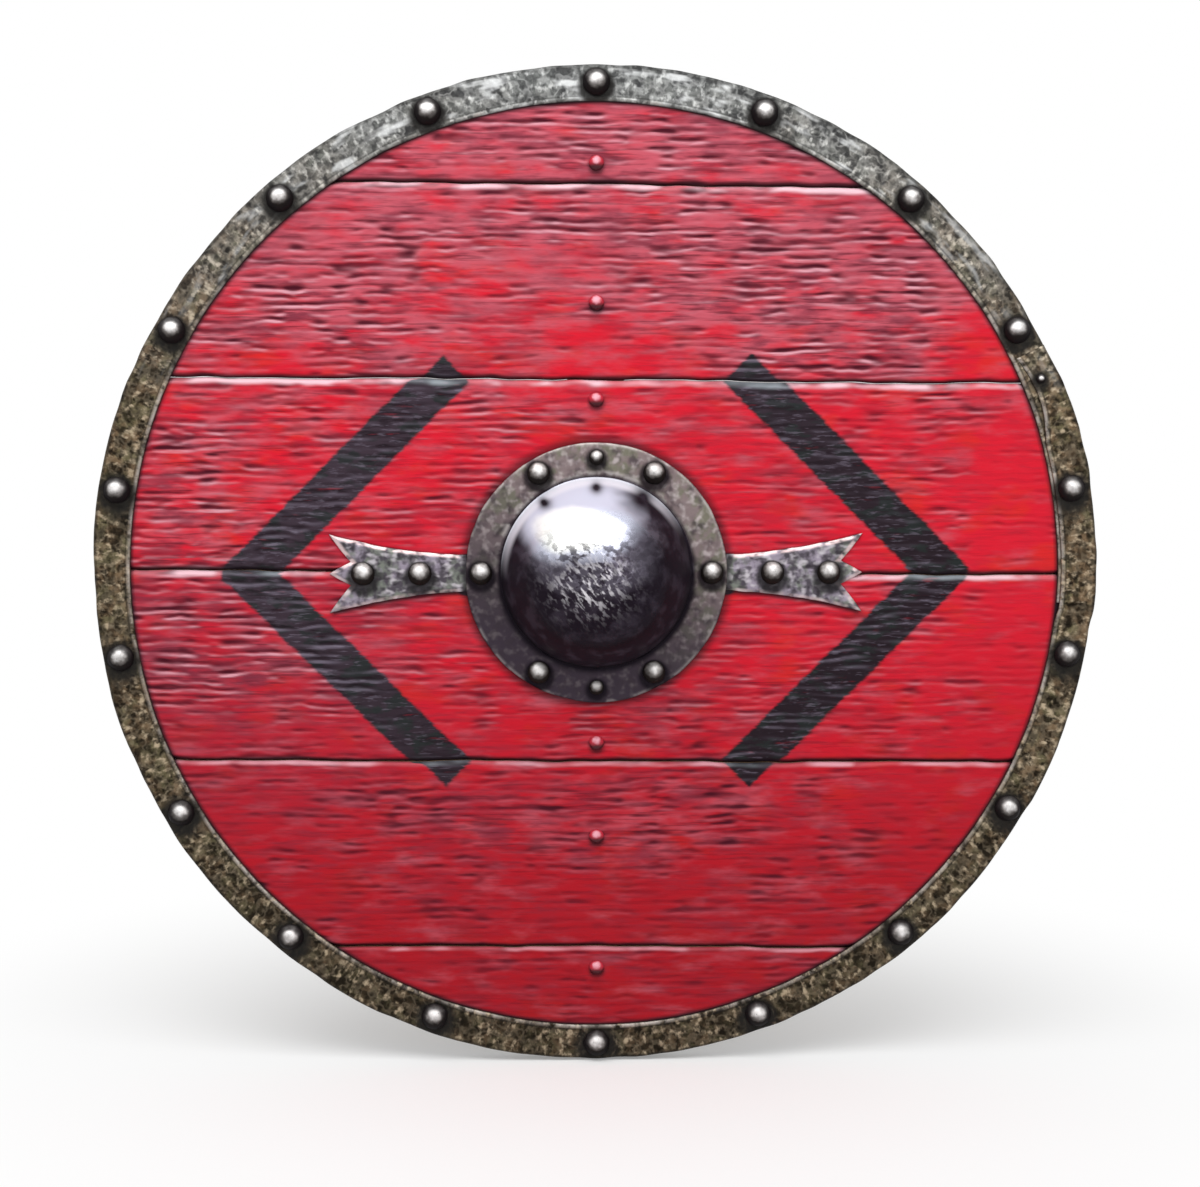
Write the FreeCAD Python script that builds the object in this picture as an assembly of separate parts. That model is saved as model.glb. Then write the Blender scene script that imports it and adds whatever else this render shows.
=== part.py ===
"""Round plank shield with a riveted iron rim, a domed centre boss and a wooden hand grip.

Millimetres. The origin is the middle of the hand grip, on the axis of the boss. The painted face
looks towards -Y, the wearer stands at +Y, and +Z is up. Six boards lie edge to edge. A grip bar
crosses them behind, an iron channel is folded over their rim, and the boss covers the hand hole.
"""

import FreeCAD, Part
import math
import os

# Driving dimensions: boards
shield_diameter = 610.0
board_width = 116.2
board_thickness = 12.0
seam_gap = 0.4
seam_bevel = 1.6
back_bevel = 0.6
rim_corner_bevel = 1.2
seams_above_centre = 2
nail_board_shares = (0.90, 0.40, 0.262)

# Driving dimensions: rim channel, its joint and its rivets
rim_width = 23.0
rim_back_width = 21.0
rim_sheet = 1.5
rim_inner_corner = 1.0
rim_edge_clearance = 0.2
rim_rivet_count = 18
lap_start_angle = -4.0
lap_end_angle = 27.0
lap_joggle_angle = 3.0
lap_clearance = 0.15
lap_end_gap = 0.8
lap_lip_setback = 2.0
lap_nail_angle = 23.6

# Driving dimensions: boss
boss_flange_diameter = 160.0
boss_flange_width = 22.0
boss_dome_height = 50.0
boss_sheet = 2.0
boss_root_radius = 3.0
boss_rivet_count = 6

# Driving dimensions: forked arms beside the boss
arm_sheet = 2.0
arm_reach = 162.0
arm_neck_width = 22.4
arm_waist_width = 32.6
arm_waist_share = 0.58
arm_fork_span = 48.4
arm_notch_depth = 13.0
arm_notch_span = 16.6
arm_root_length = 17.0
arm_joggle_length = 3.0
arm_side_clearance = 0.3
arm_rivet_shares = (0.33, 0.75)

# Driving dimensions: grip bar and its leather sleeve
bar_thickness = 22.0
bar_shoulder_width = 38.0
bar_end_width = 25.0
bar_end_thickness = 11.0
bar_end_clearance = 4.0
bar_flat_length = 32.0
bar_corner = 2.0
bar_end_bevel = 4.0
grip_length = 96.0
grip_width = 28.0
grip_thickness = 18.0
grip_corner = 8.0
shoulder_length = 16.0
sleeve_sheet = 1.6
sleeve_end_gap = 1.0

# Driving dimensions: rivets, roves and nails
rim_rivet_head_diameter = 17.0
rim_rivet_head_height = 6.4
boss_rivet_head_diameter = 14.6
boss_rivet_head_height = 5.6
arm_rivet_head_diameter = 15.0
arm_rivet_head_height = 5.8
rivet_shank_diameter = 5.0
rivet_tail_diameter = 9.0
rivet_tail_height = 2.4
rove_side = 15.0
rove_sheet = 1.6
nail_head_diameter = 9.6
nail_head_height = 3.2
nail_shank_diameter = 3.2
nail_tail_length = 11.0
nail_tip_diameter = 1.4
blind_nail_bite = 14.0
lap_nail_head_diameter = 6.0
lap_nail_head_height = 2.2
hole_clearance = 0.1
groove_clearance = 0.3
cut_overrun = 5.0

FORWARD = FreeCAD.Vector(0, -1, 0)
FULL_TURN = 360.0

# Places worked out from the driving dimensions
outer_radius = shield_diameter / 2
board_radius = outer_radius - rim_sheet - rim_edge_clearance
board_pitch = board_width + seam_gap
board_back = -bar_thickness / 2
board_front = board_back - board_thickness
rim_front = board_front - rim_sheet
rim_back = board_back + rim_sheet
rim_rivet_circle = outer_radius - rim_width / 2
flange_front = board_front - boss_sheet
flange_radius = boss_flange_diameter / 2
dome_radius = flange_radius - boss_flange_width
dome_sphere = (dome_radius**2 + boss_dome_height**2) / (2 * boss_dome_height)
dome_centre = flange_front - boss_dome_height + dome_sphere
hand_hole_radius = dome_radius - boss_sheet
root_rise = dome_centre - (flange_front - boss_root_radius)
root_circle = math.sqrt((dome_sphere + boss_root_radius) ** 2 - root_rise**2)
boss_rivet_circle = (root_circle + flange_radius) / 2
arm_start = flange_radius + arm_side_clearance
bar_end = outer_radius - rim_back_width - bar_end_clearance
shoulder_end = grip_length / 2 + shoulder_length
flat_end = shoulder_end + bar_flat_length
rivet_hole = rivet_shank_diameter / 2 + hole_clearance
nail_hole = nail_shank_diameter / 2 + hole_clearance
rivet_angles = [90 + k * FULL_TURN / rim_rivet_count for k in range(rim_rivet_count)]
boss_angles = [k * FULL_TURN / boss_rivet_count for k in range(boss_rivet_count)]
arm_rivet_reaches = [arm_start + share * (arm_reach - arm_start) for share in arm_rivet_shares]


def point(x, y, z=0.0):
    return FreeCAD.Vector(x, y, z)


def on_circle(radius, degrees):
    """(x, z) on a circle about the boss axis, counter-clockwise as seen from the front."""
    angle = math.radians(degrees)
    return radius * math.cos(angle), radius * math.sin(angle)


def face_of(edges):
    return Part.Face(Part.Wire(edges))


def polygon_face(points):
    return Part.Face(Part.makePolygon(points + points[:1]))


def turned(face, start=0.0, sweep=FULL_TURN):
    """A profile in the XY plane, turned about the boss axis from a start angle."""
    solid = face.revolve(point(0, 0), FORWARD, sweep)
    solid.rotate(point(0, 0), FORWARD, start)
    return solid


def pin_along_y(radius, front, back, x, z):
    """A round pin or hole cutter that runs from front to back."""
    return Part.makeCylinder(radius, back - front, point(x, front, z), point(0, 1, 0))


def bridge(a, b, radius, centre):
    """The arc from a to b, about a centre, on the side that faces away from it."""
    middle = (a + b) * 0.5 - centre
    middle.normalize()
    return Part.Arc(a, centre + middle * radius, b).toShape()


def cut_all(solid, cutters):
    return solid.cut(Part.makeCompound(cutters))


# Boards


def board_nail_heights():
    """One nail in the showing height of each board above the centre that has room for its head."""
    heights = []
    for number, share in enumerate(nail_board_shares):
        low = number * board_pitch
        high = min(low + board_pitch, outer_radius - rim_width)
        if high - low > nail_head_diameter:
            heights.append(low + share * (high - low))
    return heights


def board_disc():
    """The round blank that all six boards are sawn to, bevelled where the channel bends."""
    bevel = rim_corner_bevel
    profile = polygon_face([
        point(0, board_front),
        point(board_radius - bevel, board_front),
        point(board_radius, board_front + bevel),
        point(board_radius, board_back - bevel),
        point(board_radius - bevel, board_back),
        point(0, board_back),
    ])
    return turned(profile)


def board_strip(low, high, low_seam, high_seam):
    """A straight board between two heights, bevelled along each edge that meets another board."""
    low_front, low_back = (seam_bevel, back_bevel) if low_seam else (0, 0)
    high_front, high_back = (seam_bevel, back_bevel) if high_seam else (0, 0)
    corners = [
        (board_front, low + low_front),
        (board_front, high - high_front),
        (board_front + high_front, high),
        (board_back - high_back, high),
        (board_back, high - high_back),
        (board_back, low + low_back),
        (board_back - low_back, low),
        (board_front + low_front, low),
    ]
    kept = [c for i, c in enumerate(corners) if c != corners[i - 1]]
    section = polygon_face([point(-outer_radius, y, z) for y, z in kept])
    return section.extrude(point(2 * outer_radius, 0))


def fastener_holes():
    """Cutters for the rivets and nails that go through the boards, and for the arm roots' recesses."""
    front = rim_front - cut_overrun
    back = rim_back + cut_overrun
    holes = []
    for angle in rivet_angles:
        holes.append(pin_along_y(rivet_hole, front, back, *on_circle(rim_rivet_circle, angle)))
    for angle in boss_angles:
        holes.append(pin_along_y(rivet_hole, front, back, *on_circle(boss_rivet_circle, angle)))
    for side in (-1, 1):
        for reach in arm_rivet_reaches:
            holes.append(pin_along_y(rivet_hole, front, back, side * reach, 0))
        for height in board_nail_heights() + [boss_rivet_circle]:
            holes.append(pin_along_y(nail_hole, front, back, 0, side * height))
        holes.append(arm_root(side, arm_side_clearance))
    holes.append(pin_along_y(nail_hole, front, back, *on_circle(rim_rivet_circle, lap_nail_angle)))
    return holes


def boards():
    """Six boards, numbered from the top."""
    disc = board_disc()
    hand_hole = pin_along_y(hand_hole_radius, board_front, board_back, 0, 0)
    cutters = fastener_holes() + [hand_hole]
    seams = [k * board_pitch for k in range(seams_above_centre, -seams_above_centre - 1, -1)]
    tops = [outer_radius] + [seam - seam_gap / 2 for seam in seams]
    bottoms = [seam + seam_gap / 2 for seam in seams] + [-outer_radius]
    made = {}
    for number, (high, low) in enumerate(zip(tops, bottoms), start=1):
        strip = board_strip(low, high, low > -outer_radius, high < outer_radius)
        made[f"board_{number}"] = cut_all(strip.common(disc), cutters)
    return made


# Rim


def channel_face(front, back, edge, corner, front_lip, back_lip):
    """The section of a folded channel. Front, back and edge are where its inner faces lie."""
    sheet = rim_sheet
    outside = corner + sheet
    front_centre = point(edge - corner, front + corner)
    back_centre = point(edge - corner, back - corner)
    outer_front = point(edge - corner, front - sheet)
    outer_high = point(edge + sheet, front + corner)
    outer_low = point(edge + sheet, back - corner)
    outer_back = point(edge - corner, back + sheet)
    inner_back = point(edge - corner, back)
    inner_low = point(edge, back - corner)
    inner_high = point(edge, front + corner)
    inner_front = point(edge - corner, front)
    lips = [
        point(back_lip, back + sheet),
        point(back_lip, back),
        point(front_lip, front),
        point(front_lip, front - sheet),
    ]
    return face_of([
        Part.makeLine(lips[3], outer_front),
        bridge(outer_front, outer_high, outside, front_centre),
        Part.makeLine(outer_high, outer_low),
        bridge(outer_low, outer_back, outside, back_centre),
        Part.makeLine(outer_back, lips[0]),
        Part.makeLine(lips[0], lips[1]),
        Part.makeLine(lips[1], inner_back),
        bridge(inner_back, inner_low, corner, back_centre),
        Part.makeLine(inner_low, inner_high),
        bridge(inner_high, inner_front, corner, front_centre),
        Part.makeLine(inner_front, lips[2]),
        Part.makeLine(lips[2], lips[3]),
    ])


def band_section():
    """The channel's section where it lies on the boards."""
    return channel_face(
        board_front, board_back, outer_radius - rim_sheet, rim_inner_corner,
        outer_radius - rim_width, outer_radius - rim_back_width,
    )


def lap_section():
    """The channel's section where it lies over its own other end."""
    return channel_face(
        rim_front - lap_clearance, rim_back + lap_clearance, outer_radius + lap_clearance,
        rim_inner_corner + rim_sheet + lap_clearance,
        outer_radius - rim_width + lap_lip_setback, outer_radius - rim_back_width + lap_lip_setback,
    )


def rim_band():
    """One iron strip folded over the boards' edge. Its end steps up and laps over its start."""
    gap_angle = math.degrees(lap_end_gap / outer_radius)
    start = lap_start_angle + gap_angle
    step = lap_start_angle - lap_joggle_angle
    ring = turned(band_section(), start, FULL_TURN + step - start)
    lap = turned(lap_section(), lap_start_angle, lap_end_angle - lap_start_angle)
    low = band_section().OuterWire
    low.rotate(point(0, 0), FORWARD, step)
    high = lap_section().OuterWire
    high.rotate(point(0, 0), FORWARD, lap_start_angle)
    joggle = Part.makeLoft([low, high], True, True)
    return cut_all(ring.fuse([joggle, lap]), rim_holes())


def rim_holes():
    front = rim_front - cut_overrun
    back = rim_back + cut_overrun
    holes = [pin_along_y(rivet_hole, front, back, *on_circle(rim_rivet_circle, a)) for a in rivet_angles]
    holes.append(pin_along_y(nail_hole, front, back, *on_circle(rim_rivet_circle, lap_nail_angle)))
    return holes


def lap_build_up(angle):
    """How much the lap adds under a rivet head at this angle."""
    turn = (angle + FULL_TURN / 2) % FULL_TURN - FULL_TURN / 2
    return lap_clearance + rim_sheet if lap_start_angle < turn < lap_end_angle else 0.0


# Boss


def boss():
    """One iron sheet raised to a dome, with a flat flange. Both faces of the sheet share their centres."""
    centre = point(0, dome_centre)
    root = point(root_circle, flange_front - boss_root_radius)
    towards_root = root - centre
    towards_root.normalize()
    half_way = point(math.sin(math.pi / 4), -math.cos(math.pi / 4))
    meets = centre + towards_root * dome_sphere
    inner_meets = centre + towards_root * (dome_sphere - boss_sheet)
    top = point(0, dome_centre - dome_sphere)
    inner_top = point(0, dome_centre - dome_sphere + boss_sheet)
    flat = point(root_circle, flange_front)
    inner_flat = point(root_circle, board_front)
    profile = face_of([
        Part.Arc(top, centre + half_way * dome_sphere, meets).toShape(),
        bridge(meets, flat, boss_root_radius, root),
        Part.makeLine(flat, point(flange_radius, flange_front)),
        Part.makeLine(point(flange_radius, flange_front), point(flange_radius, board_front)),
        Part.makeLine(point(flange_radius, board_front), inner_flat),
        bridge(inner_flat, inner_meets, boss_root_radius + boss_sheet, root),
        Part.Arc(inner_meets, centre + half_way * (dome_sphere - boss_sheet), inner_top).toShape(),
        Part.makeLine(inner_top, top),
    ])
    front = flange_front - cut_overrun
    back = board_front + cut_overrun
    holes = [pin_along_y(rivet_hole, front, back, *on_circle(boss_rivet_circle, a)) for a in boss_angles]
    for side in (-1, 1):
        holes.append(pin_along_y(nail_hole, front, back, 0, side * boss_rivet_circle))
    return cut_all(turned(profile), holes)


# Arms


def arm_root(side, clearance=0.0):
    """The tongue of an arm that lies in the boards, under the flange. With a clearance, its recess."""
    inner = flange_radius - arm_root_length - clearance
    outer = arm_start + arm_joggle_length + clearance
    half_width = arm_neck_width / 2 + clearance
    corner = point(min(side * inner, side * outer), board_front, -half_width)
    return Part.makeBox(outer - inner, arm_sheet, 2 * half_width, corner)


def arm_plate():
    """The forked plate on the right, from the flange's edge to its three points."""
    neck = arm_neck_width / 2
    waist = arm_waist_width / 2
    fork = arm_fork_span / 2
    notch = arm_notch_span / 2
    waist_reach = arm_start + arm_waist_share * (arm_reach - arm_start)
    notch_reach = arm_reach - arm_notch_depth

    def at(x, z):
        return point(x, board_front - arm_sheet, z)

    upper = Part.Arc(at(arm_start, neck), at(waist_reach, waist), at(arm_reach, fork)).toShape()
    lower = Part.Arc(at(arm_reach, -fork), at(waist_reach, -waist), at(arm_start, -neck)).toShape()
    outline = face_of([
        upper,
        Part.makeLine(at(arm_reach, fork), at(notch_reach, notch)),
        Part.makeLine(at(notch_reach, notch), at(arm_reach, 0)),
        Part.makeLine(at(arm_reach, 0), at(notch_reach, -notch)),
        Part.makeLine(at(notch_reach, -notch), at(arm_reach, -fork)),
        lower,
        Part.makeLine(at(arm_start, -neck), at(arm_start, neck)),
    ])
    return outline.extrude(point(0, arm_sheet))


def arm(side):
    plate = arm_plate()
    if side < 0:
        plate = plate.mirror(point(0, 0), point(1, 0))
    front = board_front - arm_sheet - cut_overrun
    back = board_front + arm_sheet + cut_overrun
    reaches = arm_rivet_reaches + [boss_rivet_circle]
    holes = [pin_along_y(rivet_hole, front, back, side * reach, 0) for reach in reaches]
    return cut_all(plate.fuse(arm_root(side)).removeSplitter(), holes)


# Grip


def grip_section(height, thicken=0.0):
    """A rounded rectangle across the grip, as four arcs and four lines in turn."""
    x = grip_width / 2 + thicken
    y = grip_thickness / 2 + thicken
    r = grip_corner + thicken
    diagonal = r * math.sin(math.pi / 4)
    arcs = []
    for sx, sy, turn_first in ((1, 1, True), (-1, 1, False), (-1, -1, True), (1, -1, False)):
        cx, cy = sx * (x - r), sy * (y - r)
        ends = [point(cx + sx * r, cy, height), point(cx, cy + sy * r, height)]
        first, last = ends if turn_first else reversed(ends)
        middle = point(cx + sx * diagonal, cy + sy * diagonal, height)
        arcs.append((first, last, Part.Arc(first, middle, last).toShape()))
    edges = []
    for index, (first, last, arc) in enumerate(arcs):
        edges.append(arc)
        edges.append(Part.makeLine(last, arcs[(index + 1) % len(arcs)][0]))
    return Part.Wire(edges)


def bar_back_at(height):
    """Where the bar's back face lies at a distance from the middle."""
    share = max(0.0, (abs(height) - flat_end) / (bar_end - flat_end))
    return bar_thickness / 2 - share * (bar_thickness - bar_end_thickness)


def bar_arm():
    """The bar above the grip. It lies flat on the boards, thins and narrows, and has bevelled edges."""
    side = polygon_face([
        point(-bar_shoulder_width, board_back, shoulder_end),
        point(-bar_shoulder_width, bar_back_at(shoulder_end), shoulder_end),
        point(-bar_shoulder_width, bar_back_at(flat_end), flat_end),
        point(-bar_shoulder_width, bar_back_at(bar_end), bar_end),
        point(-bar_shoulder_width, board_back, bar_end),
    ]).extrude(point(2 * bar_shoulder_width, 0))
    shoulder = bar_shoulder_width / 2
    end = bar_end_width / 2
    outline = polygon_face([
        point(-shoulder, -bar_thickness, shoulder_end),
        point(shoulder, -bar_thickness, shoulder_end),
        point(end, -bar_thickness, bar_end - bar_end_bevel),
        point(end - bar_end_bevel, -bar_thickness, bar_end),
        point(-(end - bar_end_bevel), -bar_thickness, bar_end),
        point(-end, -bar_thickness, bar_end - bar_end_bevel),
    ]).extrude(point(0, 2 * bar_thickness))
    arm_blank = side.common(outline)
    long_edges = [edge for edge in arm_blank.Edges if edge.BoundBox.ZLength > bar_end_bevel + bar_corner]
    across = [edge for edge in long_edges if edge.BoundBox.XMax * edge.BoundBox.XMin > 0]
    return arm_blank.makeChamfer(bar_corner, across)


def nail_seats():
    """Cutters in the bar for the nails: a hole each, and a groove for each bent point."""
    cutters = []
    for side in (-1, 1):
        blind_end = board_back + blind_nail_bite + hole_clearance
        front = board_back - cut_overrun
        cutters.append(pin_along_y(nail_hole, front, blind_end, 0, side * boss_rivet_circle))
        for height in board_nail_heights():
            depth = tail_depth(height)
            cutters.append(pin_along_y(nail_hole, front, depth, 0, side * height))
            half_width = nail_shank_diameter / 2 + groove_clearance
            length = half_width + nail_tail_length + groove_clearance
            corner = point(-half_width, depth - half_width, side * height - half_width)
            groove = Part.makeBox(length, half_width + cut_overrun, 2 * half_width, corner)
            if side < 0:
                groove = groove.mirror(point(0, 0), point(1, 0))
            cutters.append(groove)
    return cutters


def grip_bar():
    """The wooden bar behind the boards, with a grip carved in it where it crosses the hand hole."""
    upper = bar_arm()
    shoulder_face = min(upper.Faces, key=lambda face: face.CenterOfMass.z)
    neck = Part.makeLoft([grip_section(grip_length / 2), shoulder_face.OuterWire], True, True)
    grip = Part.Face(grip_section(-grip_length / 2)).extrude(point(0, 0, grip_length))
    half = [upper, neck]
    mirrored = [solid.mirror(point(0, 0), point(0, 0, 1)) for solid in half]
    bar = grip.fuse(half + mirrored).removeSplitter()
    return cut_all(bar, nail_seats())


def grip_sleeve():
    """A leather sleeve round the grip, between the carved shoulders."""
    low = -grip_length / 2 + sleeve_end_gap
    length = grip_length - 2 * sleeve_end_gap
    outside = Part.Face(grip_section(low, sleeve_sheet)).extrude(point(0, 0, length))
    inside = Part.Face(grip_section(low)).extrude(point(0, 0, length))
    return outside.cut(inside)


# Rivets, roves and nails


def dome_arc(radius, height, seat, outward):
    """The edge of a domed head, from its crown on the axis to its rim at the seat."""
    sphere = (radius**2 + height**2) / (2 * height)
    centre = seat + outward * (height - sphere)
    half_angle = math.atan2(radius, sphere - height) / 2
    middle = point(sphere * math.sin(half_angle), centre + outward * sphere * math.cos(half_angle))
    return Part.Arc(point(0, seat + outward * height), middle, point(radius, seat)).toShape()


def rivet(head_diameter, head_height, seat, tail_seat, x, z):
    """A domed rivet whose head sits at one depth and whose hammered tail sits at another."""
    shank = rivet_shank_diameter / 2
    head = head_diameter / 2
    tail = rivet_tail_diameter / 2
    head_arc = dome_arc(head, head_height, seat, -1)
    tail_arc = dome_arc(tail, rivet_tail_height, tail_seat, 1)
    profile = face_of([
        head_arc,
        Part.makeLine(point(head, seat), point(shank, seat)),
        Part.makeLine(point(shank, seat), point(shank, tail_seat)),
        Part.makeLine(point(shank, tail_seat), point(tail, tail_seat)),
        tail_arc,
        Part.makeLine(point(0, tail_seat + rivet_tail_height), point(0, seat - head_height)),
    ])
    solid = turned(profile)
    solid.translate(point(x, 0, z))
    return solid


def nail(head_diameter, head_height, seat, end, x, z):
    """A straight nail with a low domed head."""
    shank = nail_shank_diameter / 2
    head = head_diameter / 2
    profile = face_of([
        dome_arc(head, head_height, seat, -1),
        Part.makeLine(point(head, seat), point(shank, seat)),
        Part.makeLine(point(shank, seat), point(shank, end)),
        Part.makeLine(point(shank, end), point(0, end)),
        Part.makeLine(point(0, end), point(0, seat - head_height)),
    ])
    solid = turned(profile)
    solid.translate(point(x, 0, z))
    return solid


def tail_depth(height):
    """Where the axis of a bent nail point lies, so that it ends flush with the back of the bar."""
    return bar_back_at(height) - nail_shank_diameter / 2


def clenched_nail(height):
    """A nail through board and bar. Its point is bent over and hammered flush into the bar's back."""
    shank = nail_shank_diameter / 2
    depth = tail_depth(height)
    straight = nail(nail_head_diameter, nail_head_height, board_front, depth, 0, height)
    elbow = Part.makeSphere(shank, point(0, depth, height))
    across = math.copysign(1, height)
    tail = Part.makeCone(
        shank, nail_tip_diameter / 2, nail_tail_length, point(0, depth, height), point(across, 0)
    )
    return straight.fuse([elbow, tail]).removeSplitter()


def rim_rivets():
    made = []
    for angle in rivet_angles:
        extra = lap_build_up(angle)
        x, z = on_circle(rim_rivet_circle, angle)
        made.append(rivet(
            rim_rivet_head_diameter, rim_rivet_head_height, rim_front - extra, rim_back + extra, x, z
        ))
    return Part.makeCompound(made)


def rim_joint_nail():
    """The small extra rivet near the end of the lap."""
    x, z = on_circle(rim_rivet_circle, lap_nail_angle)
    build_up = lap_build_up(lap_nail_angle)
    seat = rim_front - build_up
    back = rim_back + build_up
    shaft = nail(lap_nail_head_diameter, lap_nail_head_height, seat, back, x, z)
    tail = turned(face_of([
        Part.makeLine(point(0, back), point(lap_nail_head_diameter / 2, back)),
        dome_arc(lap_nail_head_diameter / 2, lap_nail_head_height, back, 1),
        Part.makeLine(point(0, back + lap_nail_head_height), point(0, back)),
    ]))
    tail.translate(point(x, 0, z))
    return shaft.fuse(tail).removeSplitter()


def boss_rivets():
    tail_seat = board_back + rove_sheet
    made = []
    for angle in boss_angles:
        x, z = on_circle(boss_rivet_circle, angle)
        made.append(rivet(
            boss_rivet_head_diameter, boss_rivet_head_height, flange_front, tail_seat, x, z
        ))
    return Part.makeCompound(made)


def arm_rivets():
    tail_seat = board_back + rove_sheet
    made = []
    for side in (-1, 1):
        for reach in arm_rivet_reaches:
            made.append(rivet(
                arm_rivet_head_diameter, arm_rivet_head_height, board_front - arm_sheet, tail_seat,
                side * reach, 0,
            ))
    return Part.makeCompound(made)


def rove(x, z):
    """A square iron washer, set cornerwise, that a rivet's tail is hammered down over."""
    corner = point(-rove_side / 2, board_back, -rove_side / 2)
    plate = Part.makeBox(rove_side, rove_sheet, rove_side, corner)
    plate.rotate(point(0, 0), FORWARD, math.degrees(math.atan2(z, x)) + 45)
    plate.translate(point(x, 0, z))
    return plate.cut(pin_along_y(rivet_hole, board_back - cut_overrun, board_back + cut_overrun, x, z))


def boss_roves():
    return Part.makeCompound([rove(*on_circle(boss_rivet_circle, angle)) for angle in boss_angles])


def arm_roves():
    return Part.makeCompound([rove(side * reach, 0) for side in (-1, 1) for reach in arm_rivet_reaches])


def board_nails():
    heights = board_nail_heights()
    return Part.makeCompound([clenched_nail(side * height) for side in (1, -1) for height in heights])


def boss_nails():
    """The two short nails that pin the flange, the boards and the bar together."""
    end = board_back + blind_nail_bite
    heights = [boss_rivet_circle, -boss_rivet_circle]
    return Part.makeCompound([
        nail(nail_head_diameter, nail_head_height, flange_front, end, 0, height) for height in heights
    ])


def main():
    os.makedirs("parts", exist_ok=True)
    pieces = boards()
    pieces.update({
        "rim_band": rim_band(),
        "rim_joint_nail": rim_joint_nail(),
        "rim_rivets": rim_rivets(),
        "boss": boss(),
        "boss_rivets": boss_rivets(),
        "boss_roves": boss_roves(),
        "boss_nails": boss_nails(),
        "arm_left": arm(-1),
        "arm_right": arm(1),
        "arm_rivets": arm_rivets(),
        "arm_roves": arm_roves(),
        "board_nails": board_nails(),
        "grip_bar": grip_bar(),
        "grip_sleeve": grip_sleeve(),
    })
    for name, shape in pieces.items():
        shape.exportStep(f"parts/{name}.step")
        print(name, "solids", len(shape.Solids), "volume", round(shape.Volume), "valid", shape.isValid())


main()
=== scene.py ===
"""The looks of a round plank shield: carved, painted boards in hammered iron, with a wooden grip.

Sizes are in millimetres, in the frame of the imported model, and turn into metres where a mesh is
made. The painted face looks towards -Y, and +Z is up. Each surface is a grid of points with seeded
relief. Where a finish has to follow the relief, the mesh keeps the field as an attribute that the
finish reads.
"""
import itertools
import math

import bmesh
import bpy
import numpy as np
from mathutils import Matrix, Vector


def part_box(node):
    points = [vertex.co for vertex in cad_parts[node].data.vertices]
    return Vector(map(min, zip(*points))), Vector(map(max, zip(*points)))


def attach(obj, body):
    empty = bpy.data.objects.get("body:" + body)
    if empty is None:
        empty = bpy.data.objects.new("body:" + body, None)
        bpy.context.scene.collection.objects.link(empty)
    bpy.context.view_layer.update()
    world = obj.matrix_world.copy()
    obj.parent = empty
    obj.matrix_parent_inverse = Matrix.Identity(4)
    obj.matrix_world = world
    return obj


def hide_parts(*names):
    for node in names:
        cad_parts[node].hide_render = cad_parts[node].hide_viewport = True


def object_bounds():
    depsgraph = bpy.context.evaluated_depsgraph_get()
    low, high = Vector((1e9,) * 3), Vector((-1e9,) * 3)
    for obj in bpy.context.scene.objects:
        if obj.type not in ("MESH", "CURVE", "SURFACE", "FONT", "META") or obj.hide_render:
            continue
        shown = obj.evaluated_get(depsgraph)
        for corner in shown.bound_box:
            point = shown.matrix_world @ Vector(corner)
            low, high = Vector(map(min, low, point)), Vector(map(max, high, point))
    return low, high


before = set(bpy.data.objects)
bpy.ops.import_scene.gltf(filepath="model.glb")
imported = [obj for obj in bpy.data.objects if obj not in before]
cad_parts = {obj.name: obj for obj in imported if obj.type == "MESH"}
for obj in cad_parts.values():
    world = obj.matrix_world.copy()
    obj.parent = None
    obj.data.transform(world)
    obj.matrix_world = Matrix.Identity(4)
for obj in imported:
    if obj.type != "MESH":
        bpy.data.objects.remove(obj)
cad_low, cad_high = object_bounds()

MM = 0.001
WELD = 0.01


# Places read from the frame


def corners(node):
    """The lowest and highest corner of a node."""
    low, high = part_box(node)
    return low / MM, high / MM


def islands(node):
    """The lowest and highest corner of each separate solid of a node, in a fixed order."""
    bm = bmesh.new()
    bm.from_mesh(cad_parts[node].data)
    bmesh.ops.remove_doubles(bm, verts=bm.verts, dist=WELD * MM)
    left = set(bm.verts)
    boxes = []
    while left:
        group, reach = [], [left.pop()]
        while reach:
            vert = reach.pop()
            group.append(vert.co[:])
            for edge in vert.link_edges:
                other = edge.other_vert(vert)
                if other in left:
                    left.discard(other)
                    reach.append(other)
        places = np.array(group)
        boxes.append((places.min(0), places.max(0)))
    bm.free()
    boxes.sort(key=lambda box: (round(box[0][0], 4), round(box[0][2], 4)))
    return [(low / MM, high / MM) for low, high in boxes]


def middle(box):
    """(x, z) of the middle of a box."""
    return (box[0][0] + box[1][0]) / 2, (box[0][2] + box[1][2]) / 2


def half_width(box):
    return (box[1][0] - box[0][0]) / 2


def from_head(box, x, z, downward_lean):
    """How far places are from the middle of a fastener, counted shorter below it, so that soiling and painted
    shadow reach further down.
    """
    at_x, at_z = middle(box)
    return np.hypot(x - at_x, z - at_z) + (z - at_z) * downward_lean


board_low, board_high = corners("board_3")
rim_low, rim_high = corners("rim_band")
boss_low, boss_high = corners("boss")
bar_low, bar_high = corners("grip_bar")
sleeve_low, sleeve_high = corners("grip_sleeve")
arm_low, arm_high = corners("arm_right")

board_nail_boxes = islands("board_nails")
rim_rivet_boxes = islands("rim_rivets")
boss_rivet_boxes = islands("boss_rivets")
boss_nail_boxes = islands("boss_nails")
arm_rivet_boxes = islands("arm_rivets")
joint_nail_boxes = islands("rim_joint_nail")

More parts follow.
